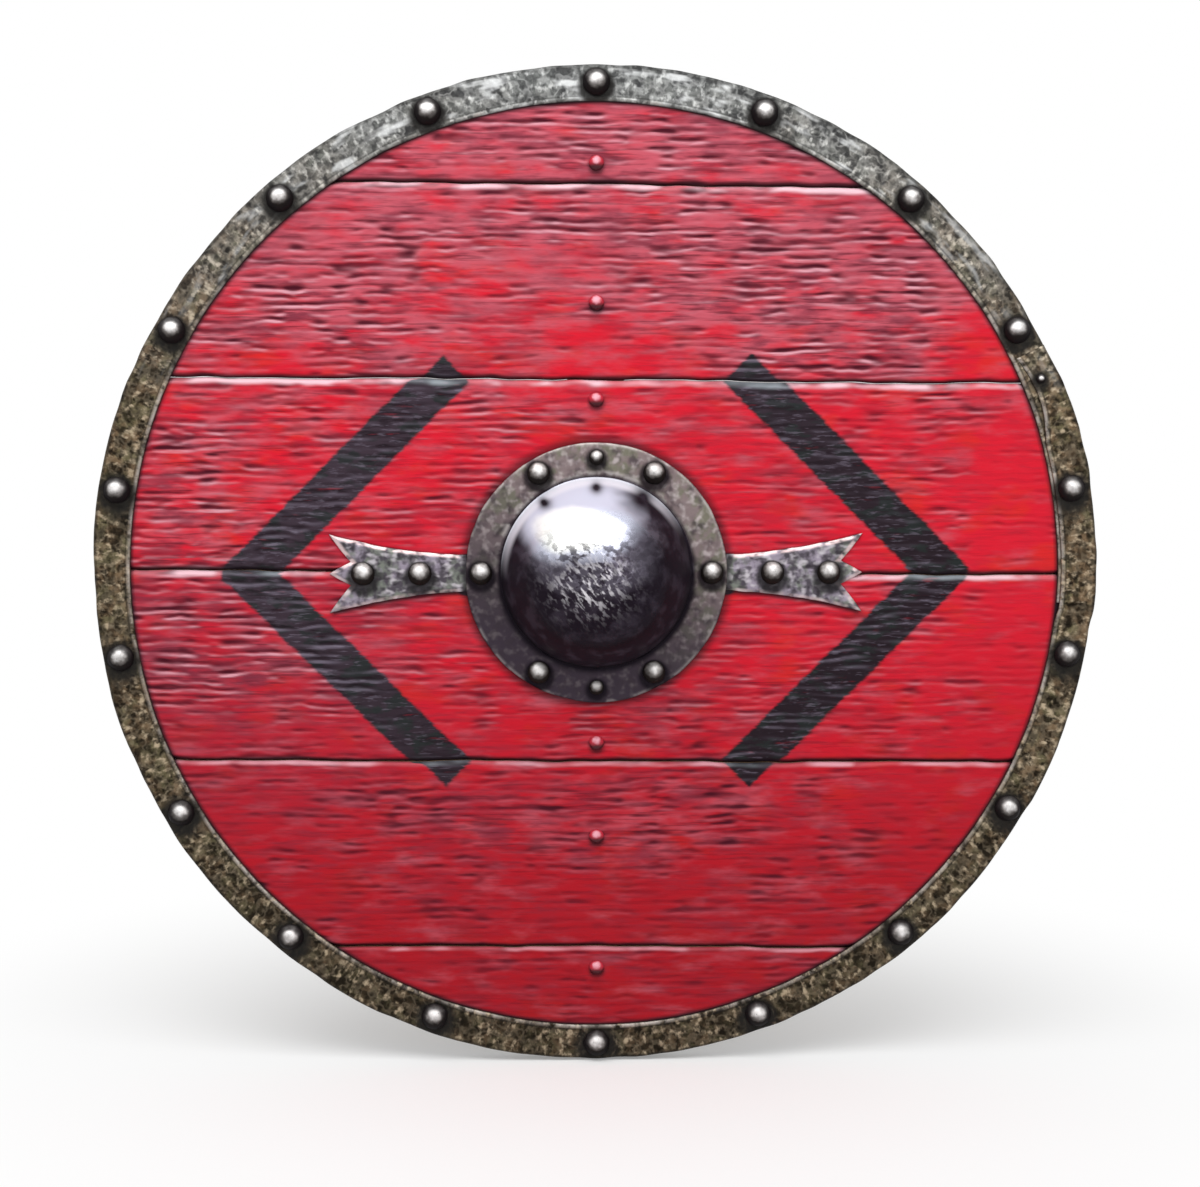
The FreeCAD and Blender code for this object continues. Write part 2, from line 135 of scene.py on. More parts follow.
BOARD_FRONT = board_low.y
BOARD_BACK = board_high.y
RIM_RADIUS = -rim_low.x
LAP_LIFT = rim_high.x - RIM_RADIUS
RIM_SHEET = 1.5
RIM_LIP = 282.0
RIM_BACK_LIP = 284.0
FLANGE_RADIUS = boss_high.x
FLANGE_WIDTH = 22.0
BOSS_SHEET = 2.0


# Seeded noise and shares


def lattice(seed, size, *places):
    """Smooth noise from -1 to 1. Size is the length of its cells, or one length for each place."""
    sizes = size if isinstance(size, tuple) else (size,) * len(places)
    count = 256 if len(places) == 2 else 48
    table = np.random.default_rng(seed).uniform(-1, 1, (count,) * len(places))
    steps = [place / length for place, length in zip(places, sizes)]
    cells = [np.floor(step).astype(int) for step in steps]
    parts = [step - cell for step, cell in zip(steps, cells)]
    parts = [part * part * (3 - 2 * part) for part in parts]
    total = 0
    for corner in itertools.product((0, 1), repeat=len(places)):
        weight = 1
        for part, bit in zip(parts, corner):
            weight = weight * (part if bit else 1 - part)
        total = total + weight * table[tuple((cell + bit) % count for cell, bit in zip(cells, corner))]
    return total


def rough(seed, size, *places, octaves=3):
    """Noise with finer and weaker copies of itself added, still from -1 to 1."""
    total, reach = 0, 0
    for octave in range(octaves):
        share = 0.5**octave
        total = total + share * lattice(seed + octave, size, *[place * 2**octave for place in places])
        reach += share
    return total / reach


def uneven(seed, size, *places, octaves=3):
    """The same noise from 0 to 1."""
    return 0.5 + 0.5 * rough(seed, size, *places, octaves=octaves)


def ramp(low, high, value):
    """0 below low, 1 above high and a smooth step between them."""
    share = np.clip((value - low) / (high - low), 0, 1)
    return share * share * (3 - 2 * share)


def oval(x, z, at_x, at_z, wide, tall):
    """0 at a place, 1 on the oval round it and more beyond."""
    return ((x - at_x) / wide) ** 2 + ((z - at_z) / tall) ** 2


def hump(*place_and_size):
    """1 at a place and less all round it, with the values that oval takes."""
    return np.exp(-oval(*place_and_size))


# Meshes


def quads(rows, columns, first=0, wrap=False):
    """Faces between the neighbours of a grid of points that is numbered row by row."""
    row = np.arange(rows - 1)[:, None] * columns + first
    column = np.arange(columns if wrap else columns - 1)[None, :]
    after = (column + 1) % columns
    faces = (row + column, row + after, row + columns + after, row + columns + column)
    return np.stack(faces, -1).reshape(-1, 4).tolist()


def tube(rows, columns):
    """Faces of rings of points, one after the other, with both ends closed."""
    last = (rows - 1) * columns
    return quads(rows, columns, wrap=True) + [list(range(columns)), list(range(last, last + columns))]


def plate(rows, columns):
    """Faces of two grids of points, a front and a back, closed all round."""
    first = rows * columns
    loop = list(range(columns)) + [row * columns + columns - 1 for row in range(1, rows)]
    loop += [(rows - 1) * columns + column for column in range(columns - 2, -1, -1)]
    loop += [row * columns for row in range(rows - 2, 0, -1)]
    sides = [[a, b, b + first, a + first] for a, b in zip(loop, loop[1:] + loop[:1])]
    return quads(rows, columns) + quads(rows, columns, first) + sides


def stacked(x, y, z):
    """Points from grids of coordinates."""
    return np.stack(np.broadcast_arrays(x, y, z), -1).reshape(-1, 3)


def turned(profile, columns):
    """A closed profile of (radius, y), from pole to pole on the axis, turned about Y through the origin."""
    radii, depths = np.array(profile).T[:, :, None]
    angles = np.linspace(0, 2 * math.pi, columns, endpoint=False)
    points = stacked(radii * np.cos(angles), depths, radii * np.sin(angles))
    return points, quads(len(profile), columns, wrap=True)


def gather(parts):
    """Several (points, faces) as one."""
    points, faces, first = [], [], 0
    for part_points, part_faces in parts:
        points.append(part_points)
        faces.extend([[number + first for number in face] for face in part_faces])
        first += len(part_points)
    return np.concatenate(points), faces


def arc(centre, radius, start, end, steps):
    """Points (radius, y) on an arc about a centre. Degrees run from +radius towards -y."""
    angles = np.radians(np.linspace(start, end, steps))
    return [(centre[0] + radius * math.cos(a), centre[1] - radius * math.sin(a)) for a in angles]


def line(start, end, steps):
    """Points from start to end, without the last."""
    return [tuple(np.array(start) + (np.array(end) - start) * k / steps) for k in range(steps)]


def make_piece(name, nodes, finishes, points, faces, fields=None, finish_of=None):
    """Makes a mesh piece that stands for some nodes, with its relief kept as attributes."""
    mesh = bpy.data.meshes.new(name)
    mesh.from_pydata((points * MM).tolist(), [], faces)
    for key, values in (fields or {}).items():
        attribute = mesh.attributes.new(key, "FLOAT", "POINT")
        attribute.data.foreach_set("value", np.asarray(values, np.float32).ravel())
    for finish in finishes:
        mesh.materials.append(finish)
    if finish_of is not None:
        mesh.polygons.foreach_set("material_index", finish_of)
    bm = bmesh.new()
    bm.from_mesh(mesh)
    bmesh.ops.remove_doubles(bm, verts=bm.verts, dist=WELD * MM)
    bmesh.ops.recalc_face_normals(bm, faces=bm.faces)
    bm.to_mesh(mesh)
    bm.free()
    mesh.polygons.foreach_set("use_smooth", [True] * len(mesh.polygons))
    piece = bpy.data.objects.new(name, mesh)
    bpy.context.scene.collection.objects.link(piece)
    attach(piece, "root")
    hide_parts(*nodes)
    return piece


# Finishes

NOISE_APART = 1000.0


class Signal:
    """A socket, so that sums on a surface read as plain arithmetic."""

    def __init__(self, nodes, socket):
        self.nodes = nodes
        self.socket = socket

    def sum(self, operation, first, second):
        return self.nodes.node("Math", {"operation": operation}, {0: first, 1: second})

    def __add__(self, other):
        return self.sum("ADD", self, other)

    def __sub__(self, other):
        return self.sum("SUBTRACT", self, other)

    def __mul__(self, other):
        return self.sum("MULTIPLY", self, other)

    def __rsub__(self, other):
        return self.sum("SUBTRACT", other, self)

    def __abs__(self):
        return self.sum("ABSOLUTE", self, 0.0)

    __radd__ = __add__
    __rmul__ = __mul__


class Nodes:
    """A node tree in the making."""

    def __init__(self, tree):
        self.tree = tree
        tree.nodes.clear()

    def node(self, kind, settings=None, inputs=None, out=0):
        """A node of a kind, with its settings and the values or links of its sockets."""
        made = self.tree.nodes.new("ShaderNode" + kind)
        for key, value in (settings or {}).items():
            setattr(made, key, value)
        for key, value in (inputs or {}).items():
            if isinstance(value, Signal):
                self.tree.links.new(value.socket, made.inputs[key])
            else:
                made.inputs[key].default_value = value
        return Signal(self, made.outputs[out]) if len(made.outputs) else None

    def shown(self):
        """1 where a surface is seen, mirrored or looked through, and 0 where it only gives light."""
        camera, glossy, through = [
            self.node("LightPath", out=ray)
            for ray in ("Is Camera Ray", "Is Glossy Ray", "Is Transmission Ray")
        ]
        return camera.sum("MAXIMUM", camera.sum("MAXIMUM", camera, glossy), through)


class Finish(Nodes):
    """A material in the making."""

    def __init__(self, name):
        self.material = bpy.data.materials.new(name)
        self.material.use_nodes = True
        super().__init__(self.material.node_tree)
        metres = self.node("TexCoord", out="Object")
        self.place = self.node("VectorMath", {"operation": "SCALE"}, {0: metres, "Scale": 1 / MM})
        self.normal = self.node("NewGeometry", out="Normal")

    def field(self, name):
        """A relief field that the mesh keeps."""
        return self.node("Attribute", {"attribute_name": name}, out="Fac")

    def fields(self, *names):
        return [self.field(name) for name in names]

    def axis(self, name, vector=None):
        return self.node("SeparateXYZ", {}, {0: vector or self.place}, out=name)

    def grain(self, size, detail=3.0, number=0, harsh=0.55, at=None):
        """Noise from 0 to 1. Size is the length of its main features, or one length for each axis.

        Noises with different numbers don't follow each other.
        """
        sizes = size if isinstance(size, tuple) else (size,) * 3
        apart = (number * NOISE_APART,) * 3
        moved = self.node("VectorMath", {"operation": "ADD"}, {0: at or self.place, 1: apart})
        shares = tuple(1 / length for length in sizes)
        scaled = self.node("VectorMath", {"operation": "MULTIPLY"}, {0: moved, 1: shares})
        return self.node(
            "TexNoise", {"normalize": True},
            {"Vector": scaled, "Scale": 1.0, "Detail": detail, "Roughness": harsh}, out="Fac",
        )

    def step(self, low, high, value):
        """0 below low, 1 above high and a smooth step between them."""
        return self.node(
            "MapRange", {"interpolation_type": "SMOOTHSTEP"},
            {"Value": value, "From Min": low, "From Max": high, "To Min": 0.0, "To Max": 1.0},
        )

    def blend(self, share, first, second):
        """From the first colour to the second."""
        first, second = [c if isinstance(c, Signal) else (*c, 1.0) for c in (first, second)]
        return self.node("Mix", {"data_type": "RGBA"}, {0: share, 6: first, 7: second}, out=2)

    def layers(self, colour, *coats):
        """A colour with coats laid over it in turn, each as (share, colour)."""
        for share, tone in coats:
            colour = self.blend(share, colour, tone)
        return colour

    def bump(self, height, distance, strength=1.0):
        """A normal from a height of 0 to 1 that stands for a distance."""
        return self.node("Bump", {}, {"Height": height, "Distance": distance * MM, "Strength": strength})

    def done(self, **values):
        """Ends in the one shader, with values and fields on its sockets, and gives the material."""
        shader = self.node("BsdfPrincipled", {}, {k.replace("_", " "): v for k, v in values.items()})
        self.node("OutputMaterial", {}, {"Surface": shader})
        return self.material


# Chevron stripes, as distances on the painted face
STRIPE_INNER = 190.5
STRIPE_OUTER = 228.5
STRIPE_END = 37.5
STRIPE_TIP = 225.8
STRIPE_SOFT = 3.4
STRIPE_CAP = 116.8
STRIPE_CAP_DEPTH = 3.2

RED = (0.66, 0.010, 0.028)
ORANGE_RED = (0.66, 0.022, 0.014)
DEEP_RED = (0.30, 0.006, 0.012)
PINK = (0.50, 0.110, 0.150)
PLUM = (0.165, 0.024, 0.045)
PALE_ROSE = (0.68, 0.31, 0.37)
DUSK_ROSE = (0.44, 0.075, 0.105)
BARE_LIT_EDGE = (0.82, 0.52, 0.58)
ROSY_LIT_EDGE = (0.72, 0.33, 0.39)
MAROON = (0.060, 0.004, 0.012)
SOOT_AND_SHADE = (0.012, 0.006, 0.010)
SLATE = (0.044, 0.029, 0.041)
SLATE_DARK = (0.014, 0.007, 0.011)
SLATE_GREEN = (0.014, 0.022, 0.020)
SLATE_LIGHT = (0.155, 0.130, 0.172)
SLATE_LIT_EDGE = (0.30, 0.33, 0.36)


def painted_boards():
    """Red paint with dark chevrons, dark in the grain's furrows, pale from wear and a painted highlight on
    the slopes under them and on the upper edges, with a painted sheen high up and painted shade low down.
    """
    f = Finish("painted_boards")
    x, z = f.axis("X"), f.axis("Z")
    furrow, lip, weather = f.fields("furrow", "lip", "weather")
    grime_and_shade, lit_crest, shade = f.fields("grime_and_shade", "lit_crest", "shade")
    strokes = f.grain((22, 9, 3.0), 4.0)
    fine = f.grain((8, 5, 1.4), 4.0, 3)
    bands = f.grain((32, 20, 11), 3.0, 6)
    patches = f.grain((34, 20, 20), 3.0, 5)
    clouds = f.grain((30, 40, 17), 4.0, 9)
    streaks = f.grain((26, 12, 4.6), 5.0, 12)
    lines = f.grain((36, 12, 2.1), 3.0, 15)
    # Paler towards the top: weathering, and a painted sheen from the light above
    bleach_and_sheen = f.step(20, 250, z) * 0.42 + weather * 0.34 + (bands - 0.5) * 1.8 - 0.05
    # Painted shade: the paint darker towards the bottom, away from the light above
    lower_shade = f.step(20, -250, z) * 0.78
    # The painted highlights on the slopes and edges turn duskier towards the bottom, where less light falls
    low = f.step(-50, -150, z)
    dull = f.step(-60, -190, x) * f.step(20, -20, z) * f.step(-190, -110, z)
    red = f.layers(
        RED,
        (f.step(0.52, 0.66, patches) * 0.6, ORANGE_RED),
        (lower_shade, DEEP_RED),
        (f.step(0.0, 0.75, bleach_and_sheen) * 0.80, PINK),
        (f.step(0.45, 0.62, clouds * 0.5 + streaks * 0.5) * (0.12 + weather * 0.66), PLUM),
        (f.step(0.50, 0.68, strokes) * (0.18 + weather * 0.32), PLUM),
        (f.step(0.53, 0.64, lines) * (0.10 + weather * 0.50), MAROON),
        (dull * 0.26, PLUM),
        # Painted highlight, with some wear, on the slope under each furrow, which faces the light above
        (lip * (0.32 + f.step(0.36, 0.66, strokes) * 0.85), f.blend(low, PALE_ROSE, DUSK_ROSE)),
        (furrow, MAROON),
        # Wear and a painted highlight along each board's upper edge
        (lit_crest, f.blend(low, BARE_LIT_EDGE, ROSY_LIT_EDGE)),
    )
    slate = f.layers(
        SLATE_DARK,
        # Painted light: the black paint lighter towards the upper left, where the light comes from
        (f.step(-260, 300, z - x), SLATE),
        (f.step(0.48, 0.60, f.grain((16, 9, 8), 3.0, 7)) * 0.75, SLATE_GREEN),
        (f.step(0.48, 0.62, strokes) * 0.80, SOOT_AND_SHADE),
        # Painted highlights on the black paint, on the slopes under the furrows and along the upper edges, as
        # on the red
        (lip + f.step(0.54, 0.68, fine) * 0.45, SLATE_LIGHT),
        (lit_crest * 0.8, SLATE_LIT_EDGE),
        (furrow * 0.8, SOOT_AND_SHADE),
    )

    wobble = (f.grain(9, 3.0, 2) - 0.5) * 3.6 + (fine - 0.5) * 5.0
    across = abs(x) + abs(z) + wobble
    capped = f.step(STRIPE_CAP, STRIPE_CAP + 0.8, abs(z)) * (1 + f.step(1, -1, x)) * STRIPE_CAP_DEPTH
    stripe = f.step(STRIPE_INNER, STRIPE_INNER + STRIPE_SOFT, across)
    for limit, distance in (
        (STRIPE_OUTER, across + capped),
        (STRIPE_END, abs(z) - abs(x) + wobble),
        (STRIPE_TIP, abs(x) + wobble),
    ):
        stripe = stripe * (1 - f.step(limit, limit + STRIPE_SOFT, distance))
    stripe = stripe * (1 - f.step(0.62, 0.76, strokes) * 0.30)
    # Painted shade along each board's lower edge, and soiling with painted shadow where iron stands on the
    # face
    colour = f.layers(red, (stripe, slate), (grime_and_shade, SOOT_AND_SHADE), (shade * 0.92, SOOT_AND_SHADE))
    return f.done(
        Base_Color=colour, Roughness=0.50 + (fine - 0.5) * 0.3 + furrow * 0.25 - lip * 0.12,
        Specular_IOR_Level=0.10, Normal=f.bump(strokes * 0.6 + fine * 0.4, 0.5, 0.8),
    )


def bare_wood(name, light, dark, size, number):
    """Bare wood with grain along one axis. Size is the length of the grain's features on each axis."""
    f = Finish(name)
    bands = f.grain(size, 5.0, number)
    pores = f.grain(tuple(length * 0.22 for length in size), 3.0, number + 2)
    stains = f.grain(60, 3.0, number + 4)
    colour = f.layers(
        light,
        (f.step(0.38, 0.66, bands), dark),
        (f.step(0.58, 0.78, pores) * 0.6, tuple(c * 0.3 for c in dark)),
        (f.step(0.50, 0.72, stains) * 0.45, tuple(c * 0.5 for c in dark)),
        (f.field("grime_and_shade"), tuple(c * 0.25 for c in dark)),
    )
    return f.done(
        Base_Color=colour, Roughness=0.62 + (pores - 0.5) * 0.3, Specular_IOR_Level=0.3,
        Normal=f.bump(bands * 0.6 + pores * 0.4, 0.5, 0.7),
    )


def rim_iron():
    """Forged strip: lumpy, with dark hollows, silvery towards the top and olive brown lower down, partly
    patina and partly painted light from above, with painted sheen streaks high up.
    """
    f = Finish("rim_iron")
    z = f.axis("Z")
    pit, edge, grime_and_shade = f.fields("pit", "edge", "grime_and_shade")
    strip = f.node("CombineXYZ", {}, {0: f.field("along"), 1: f.field("across"), 2: f.axis("Y")})
    lumps = f.grain((5.2, 6.6, 5), 3.0, 1, at=strip)
    hollows = f.grain((4.6, 6.0, 5), 3.0, 4, at=strip)
    glints = f.grain((3.6, 5.0, 5), 2.0, 7, 0.5, strip)
    ridges = 1 - abs(f.grain((9, 8, 6.5), 2.0, 9, 0.5, strip) - 0.5) * 9
    sheen = f.grain((24, 7, 20), 2.0, 3, 0.5, strip)
    stains = f.grain((15, 9, 20), 3.0, 11, 0.5, strip)
    # Lighter and silvery towards the top: partly patina, partly painted light from above
    top = f.step(90, 315, z + (f.grain(45, 3.0, 8) - 0.5) * 120)
    # Darker lower down: partly patina, partly painted shade
    low = f.step(-40, -260, z)
    brown = f.layers(
        (0.165, 0.110, 0.064),
        (f.step(0.44, 0.60, f.grain(14, 2.0, 13)), (0.134, 0.114, 0.062)),
        (low * 0.60, (0.030, 0.024, 0.015)),
    )
    warm_light = f.blend(low * 0.4, (0.56, 0.45, 0.31), (0.40, 0.32, 0.22))
    middle_tone = f.blend(top, brown, (0.165, 0.171, 0.166))
    dark_tone = f.blend(top, (0.010, 0.007, 0.004), (0.034, 0.034, 0.036))
    light_tone = f.blend(top, warm_light, (0.64, 0.65, 0.64))
    colour = f.layers(
        middle_tone,
        (f.step(0.60, 0.38, lumps) * (0.85 - top * 0.30), dark_tone),
        (f.step(0.50, 0.72, glints) * 0.75, light_tone),
        (f.step(0.50, 0.68, hollows) * (0.95 - top * 0.30), dark_tone),
        (f.step(0.51, 0.62, stains) * 0.72, dark_tone),
        (f.step(0.20, 1.0, ridges) * (0.12 + top * 0.14), light_tone),
        # Painted sheen: pale streaks along the strip on its upper part
        (f.step(0.53, 0.70, sheen) * top * 0.80, (0.72, 0.73, 0.73)),
        (pit * 0.4, dark_tone),
        # Wear and a painted highlight on the lip's crown, dimmer on the upper half
        (edge * f.step(0.30, 0.60, lumps), (0.42, 0.38, 0.35)),
        # Soiling and painted shade: at the lip's foot and groove, on the upper lip, along the outer bend and
        # round the heads
        (grime_and_shade, (0.008, 0.007, 0.006)),
    )
    return f.done(
        Base_Color=colour, Metallic=0.70 * (1 - grime_and_shade),
        Roughness=0.52 + (hollows - 0.5) * 0.5 + pit * 0.2, Specular_IOR_Level=0.15,
        Normal=f.bump(lumps * 0.45 + (1 - hollows) * 0.40 + glints * 0.15, 1.1, 0.9),
    )


def boss_iron():
    """Black dome with a painted reflection of the sky, a painted highlight and a painted lit strip along its
    upper edge, and a scuffed belt, on a tarnished flange painted lighter towards the top.
    """
    f = Finish("boss_iron")
    x, z = f.axis("X"), f.axis("Z")
    flange, pit, edge, grime_and_shade, rind = f.fields("flange", "pit", "edge", "grime_and_shade", "rind")
    sky_reflection, bright_highlight, lit_band, haze_reflection = f.fields("sky_reflection", "bright_highlight", "lit_band", "haze_reflection")
    scuff, scraped = f.fields("scuff", "scraped")
    mottle = f.grain(8, 2.0, 1, 0.5)
    fleck = f.grain(5.0, 1.5, 4, 0.5)
    clouds = f.grain(12, 3.0, 6)
    crumple = f.grain((5, 7, 4.0), 2.0, 2, 0.5)
    slanted = f.node("VectorRotate", {"rotation_type": "Y_AXIS"}, {"Vector": f.place, "Angle": 0.7})
    scrapes = f.grain((2.4, 5, 5.6), 2.0, 3, 0.55, slanted)
    dome = f.layers(
        (0.013, 0.009, 0.014),
        (f.step(0.46, 0.66, clouds) * 0.7, (0.040, 0.032, 0.045)),
        # Painted reflections and a painted highlight on the dome's upper part: a grey mist, the sky, the
        # lamp's glare and a lit strip along the upper edge
        (haze_reflection * (0.45 + f.step(0.42, 0.60, crumple) * 0.55), (0.165, 0.150, 0.190)),
        (sky_reflection, (0.58, 0.60, 0.72)),
        (bright_highlight, (0.93, 0.94, 0.91)),
        (f.step(0.48, 0.59, crumple) * scuff * 0.92, (0.024, 0.018, 0.027)),
        (f.step(0.49, 0.64, scrapes) * scraped, (0.70, 0.67, 0.71)),
        (pit * 0.6, (0.016, 0.012, 0.018)),
        (lit_band, (0.74, 0.74, 0.82)),
    )
    # Painted light: the flange lighter and more flecked towards the top
    lit = f.step(-62, 68, z + x * 0.35)
    bronze = f.blend(f.step(0.44, 0.60, clouds), (0.240, 0.186, 0.186), (0.185, 0.176, 0.135))
    tarnish_and_light = f.layers(
        (0.045, 0.034, 0.046),
        (lit * (0.85 + clouds * 0.2), bronze),
        (f.step(0.44, 0.72, mottle) * 0.74, (0.045, 0.034, 0.042)),
        (f.step(0.46, 0.80, fleck) * (lit * 0.72 + 0.12), (0.50, 0.44, 0.44)),
        # Wear and painted highlights at the flange's edges
        (edge * f.step(0.44, 0.58, clouds), (0.46, 0.42, 0.41)),
    )
    # Soiling and painted shadow round the dome's root and round the heads
    colour = f.layers(dome, (flange, tarnish_and_light), (grime_and_shade, (0.008, 0.006, 0.009)))
    scars = (crumple * 0.6 + scrapes * 0.4) * (scuff * 0.7 + 0.10)
    return f.done(
        Base_Color=colour, Metallic=0.92 * (1 - rind),
        Roughness=0.24 + (clouds - 0.5) * 0.2 + pit * 0.15 + rind * 0.25 + flange * 0.30,
        Specular_IOR_Level=0.05,
        Normal=f.bump(mottle * flange + scars + fleck * flange * 0.5, 0.6, 0.6),
    )


def rivet_iron():
    """Domed heads with a painted highlight where they face up and out towards the light, and painted shade
    with soiling below.
    """
    f = Finish("rivet_iron")
    up, out = f.axis("Z", f.normal), abs(f.axis("Y", f.normal))
    smear = f.grain(3.4, 3.0, 1)
    speck = f.grain(1.4, 3.0, 3)
    # Painted light: each head lit where it faces up and out towards the light, and dark below
    wear_and_light = up * 0.42 + out * 0.90 + (smear - 0.5) * 0.34
    colour = f.layers(
        (0.012, 0.009, 0.008),
        (f.step(0.54, 0.88, wear_and_light), (0.180, 0.165, 0.158)),
        (f.step(0.74, 1.06, wear_and_light), (0.80, 0.78, 0.77)),
        (f.step(0.62, 0.74, speck) * 0.5, (0.03, 0.028, 0.028)),
        (f.field("grime_and_shade"), (0.008, 0.006, 0.007)),
    )
    return f.done(
        Base_Color=colour, Metallic=f.step(0.80, 1.0, wear_and_light) * 0.5, Roughness=0.50 + (smear - 0.5) * 0.3,
        Specular_IOR_Level=0.06, Normal=f.bump(smear * 0.6 + speck * 0.4, 0.4, 0.7),
    )


def painted_nails():
    """Small heads under the boards' red paint, with a painted highlight on their crowns and painted shade on
    their lower sides.
    """
    f = Finish("painted_nails")
    up, out = f.axis("Z", f.normal), abs(f.axis("Y", f.normal))
    smear = f.grain(3.0, 3.0, 1)
    # Painted light: each crown lit where it faces the light, and the lower side in painted shade
    wear_and_light = up * 0.45 + out * 0.89 + (smear - 0.5) * 0.30
    colour = f.layers(
        (0.060, 0.005, 0.010),
        (f.step(-0.45, 0.25, up), (0.50, 0.022, 0.045)),
        (f.step(0.76, 1.02, wear_and_light), (0.78, 0.36, 0.43)),
        (f.field("grime_and_shade") * f.step(0.2, -0.3, up) * 0.8, (0.035, 0.004, 0.008)),
    )
    return f.done(
        Base_Color=colour, Roughness=0.42 + (smear - 0.5) * 0.3, Specular_IOR_Level=0.3,
        Normal=f.bump(smear, 0.3, 0.5),
    )


def arm_iron():
    """Forked plates: pitted dark grey, with pale edges from wear and a painted highlight, and painted shade
    by the flange and round the heads.
    """
    f = Finish("arm_iron")
    pit, edge, grime_and_shade = f.fields("pit", "edge", "grime_and_shade")
    mottle = f.grain(6.5, 2.5, 1)
    fleck = f.grain((6.5, 5, 4.4), 1.5, 4, 0.5)
    colour = f.layers(
        (0.30, 0.26, 0.32),
        (f.step(0.44, 0.58, f.grain(13, 2.0, 8)), (0.190, 0.205, 0.178)),
        (f.step(0.38, 0.64, mottle), (0.078, 0.067, 0.082)),
        (f.step(0.48, 0.74, fleck) * 0.80, (0.60, 0.56, 0.60)),
        (pit * 0.7, (0.030, 0.025, 0.030)),
        # Wear and a painted highlight on the edges, then soiling and painted shade
        (edge * f.step(0.34, 0.54, fleck), (0.66, 0.51, 0.51)),
        (grime_and_shade, (0.012, 0.010, 0.012)),
    )
    return f.done(
        Base_Color=colour, Metallic=0.75 * (1 - grime_and_shade), Roughness=0.48 + (mottle - 0.5) * 0.4,
        Specular_IOR_Level=0.15, Normal=f.bump(mottle * 0.5 + fleck * 0.5, 0.7, 0.9),
    )


def sleeve_leather():
    """Dark leather, lighter on its ridges from wear."""
    f = Finish("sleeve_leather")
    pebble = f.node("TexVoronoi", {"feature": "DISTANCE_TO_EDGE"}, {"Vector": f.place, "Scale": 0.62}, out=0)
    creases = f.grain((4, 4, 2), 4.0)
    pale_share = f.grain(18, 3.0, 3)
    colour = f.layers(
        (0.070, 0.032, 0.016),
        (f.step(0.42, 0.68, pale_share), (0.150, 0.072, 0.036)),
        (f.step(0.05, 0.0, pebble) * 0.7, (0.018, 0.009, 0.006)),
        (f.field("grime_and_shade"), (0.012, 0.007, 0.005)),
    )
    return f.done(
        Base_Color=colour, Roughness=0.50 + (pale_share - 0.5) * 0.3, Specular_IOR_Level=0.4,
        Normal=f.bump(f.step(0.0, 0.10, pebble) * 0.6 + creases * 0.4, 0.3, 0.7),
    )


def waxed_thread():
    """Pale twisted thread."""
    f = Finish("waxed_thread")
    twist = f.grain((1.2, 1.2, 0.5), 3.0)
    colour = f.blend(twist, (0.42, 0.34, 0.22), (0.20, 0.15, 0.09))
    return f.done(Base_Color=colour, Roughness=0.7 + (twist - 0.5) * 0.2, Normal=f.bump(twist, 0.2))


PAINT = painted_boards()
BACK_WOOD = bare_wood("board_backs", (0.40, 0.27, 0.155), (0.24, 0.145, 0.075), (70, 20, 4), 0)
BAR_WOOD = bare_wood("bar_wood", (0.33, 0.20, 0.105), (0.19, 0.105, 0.052), (5, 5, 60), 6)
RIM_IRON = rim_iron()
BOSS_IRON = boss_iron()
RIVET_IRON = rivet_iron()
PAINTED_NAILS = painted_nails()
ARM_IRON = arm_iron()
LEATHER = sleeve_leather()
THREAD = waxed_thread()


# Boards

ROW_PITCH = 0.70
COLUMNS = 184
BACK_EVERY = 4
BOARD_EDGE = 299.5
OUTER_BOARD_REACH = 296.0
HAND_HOLE_RADIUS = FLANGE_RADIUS - 24
SEAM_TILT = 0.0085
SEAM_GAP = 0.5
FURROW_DEPTH = 0.85
FURROW_PITCH = 5.4
LIP_SHIFT = 1.8
NO_BEVEL = 0.01
BACK_ROUNDING = 1.4
ARM_NECK = 22.4
ARM_WAIST = 32.6
ARM_WAIST_SHARE = 0.58

# How wide and pale the upper edge of each board is, from wear and a painted highlight where the edge faces up
EDGE_WEAR_AND_LIGHT = {1: 0.0, 2: 1.25, 3: 1.25, 4: 1.15, 5: 0.95, 6: 0.80}

# Where the grain is weathered most (above 0) or least: x, z, half width, half height and how much
WEATHER = (
    (-165, 160, 90, 42, 0.55), (-40, 208, 110, 18, 0.45), (120, 165, 95, 42, 0.70),
    (0, 262, 190, 26, 0.60), (-240, 50, 36, 55, 0.60), (-150, 90, 60, 16, 0.25),
    (60, 92, 60, 22, -0.30), (265, 60, 30, 60, -0.55), (170, 134, 80, 14, 0.18),
    (150, 178, 70, 34, 0.25), (238, 140, 30, 24, -0.55), (-200, 128, 50, 9, -0.40),
    (0, 150, 26, 32, -0.20), (-215, -50, 80, 50, 0.62), (-30, 88, 50, 14, 0.15),
    (110, -60, 45, 30, 0.05), (258, -60, 36, 60, -0.50), (-110, -150, 60, 34, 0.25),
    (20, -165, 70, 34, 0.40), (125, -150, 55, 30, 0.15), (218, -150, 40, 34, -0.45),
    (0, -262, 150, 22, -0.10), (-230, -150, 40, 40, -0.20), (170, 20, 40, 60, -0.20),
    (60, -130, 40, 16, 0.20), (-60, 40, 30, 60, 0.25),
)
# Knots that the grain bends round: x, z, radius and how far it moves a line
KNOTS = (
    (130, 172, 26, 2.2), (-236, 24, 20, -1.8), (168, 150, 18, -1.7), (30, -182, 20, 1.6),
    (-70, 250, 18, 1.4), (-150, -52, 22, 1.5), (95, -70, 18, -1.5), (190, 60, 18, 1.4),
    (-180, 176, 20, -1.6), (150, -150, 20, 1.5),
)
KNOT_SQUASH = 2.2


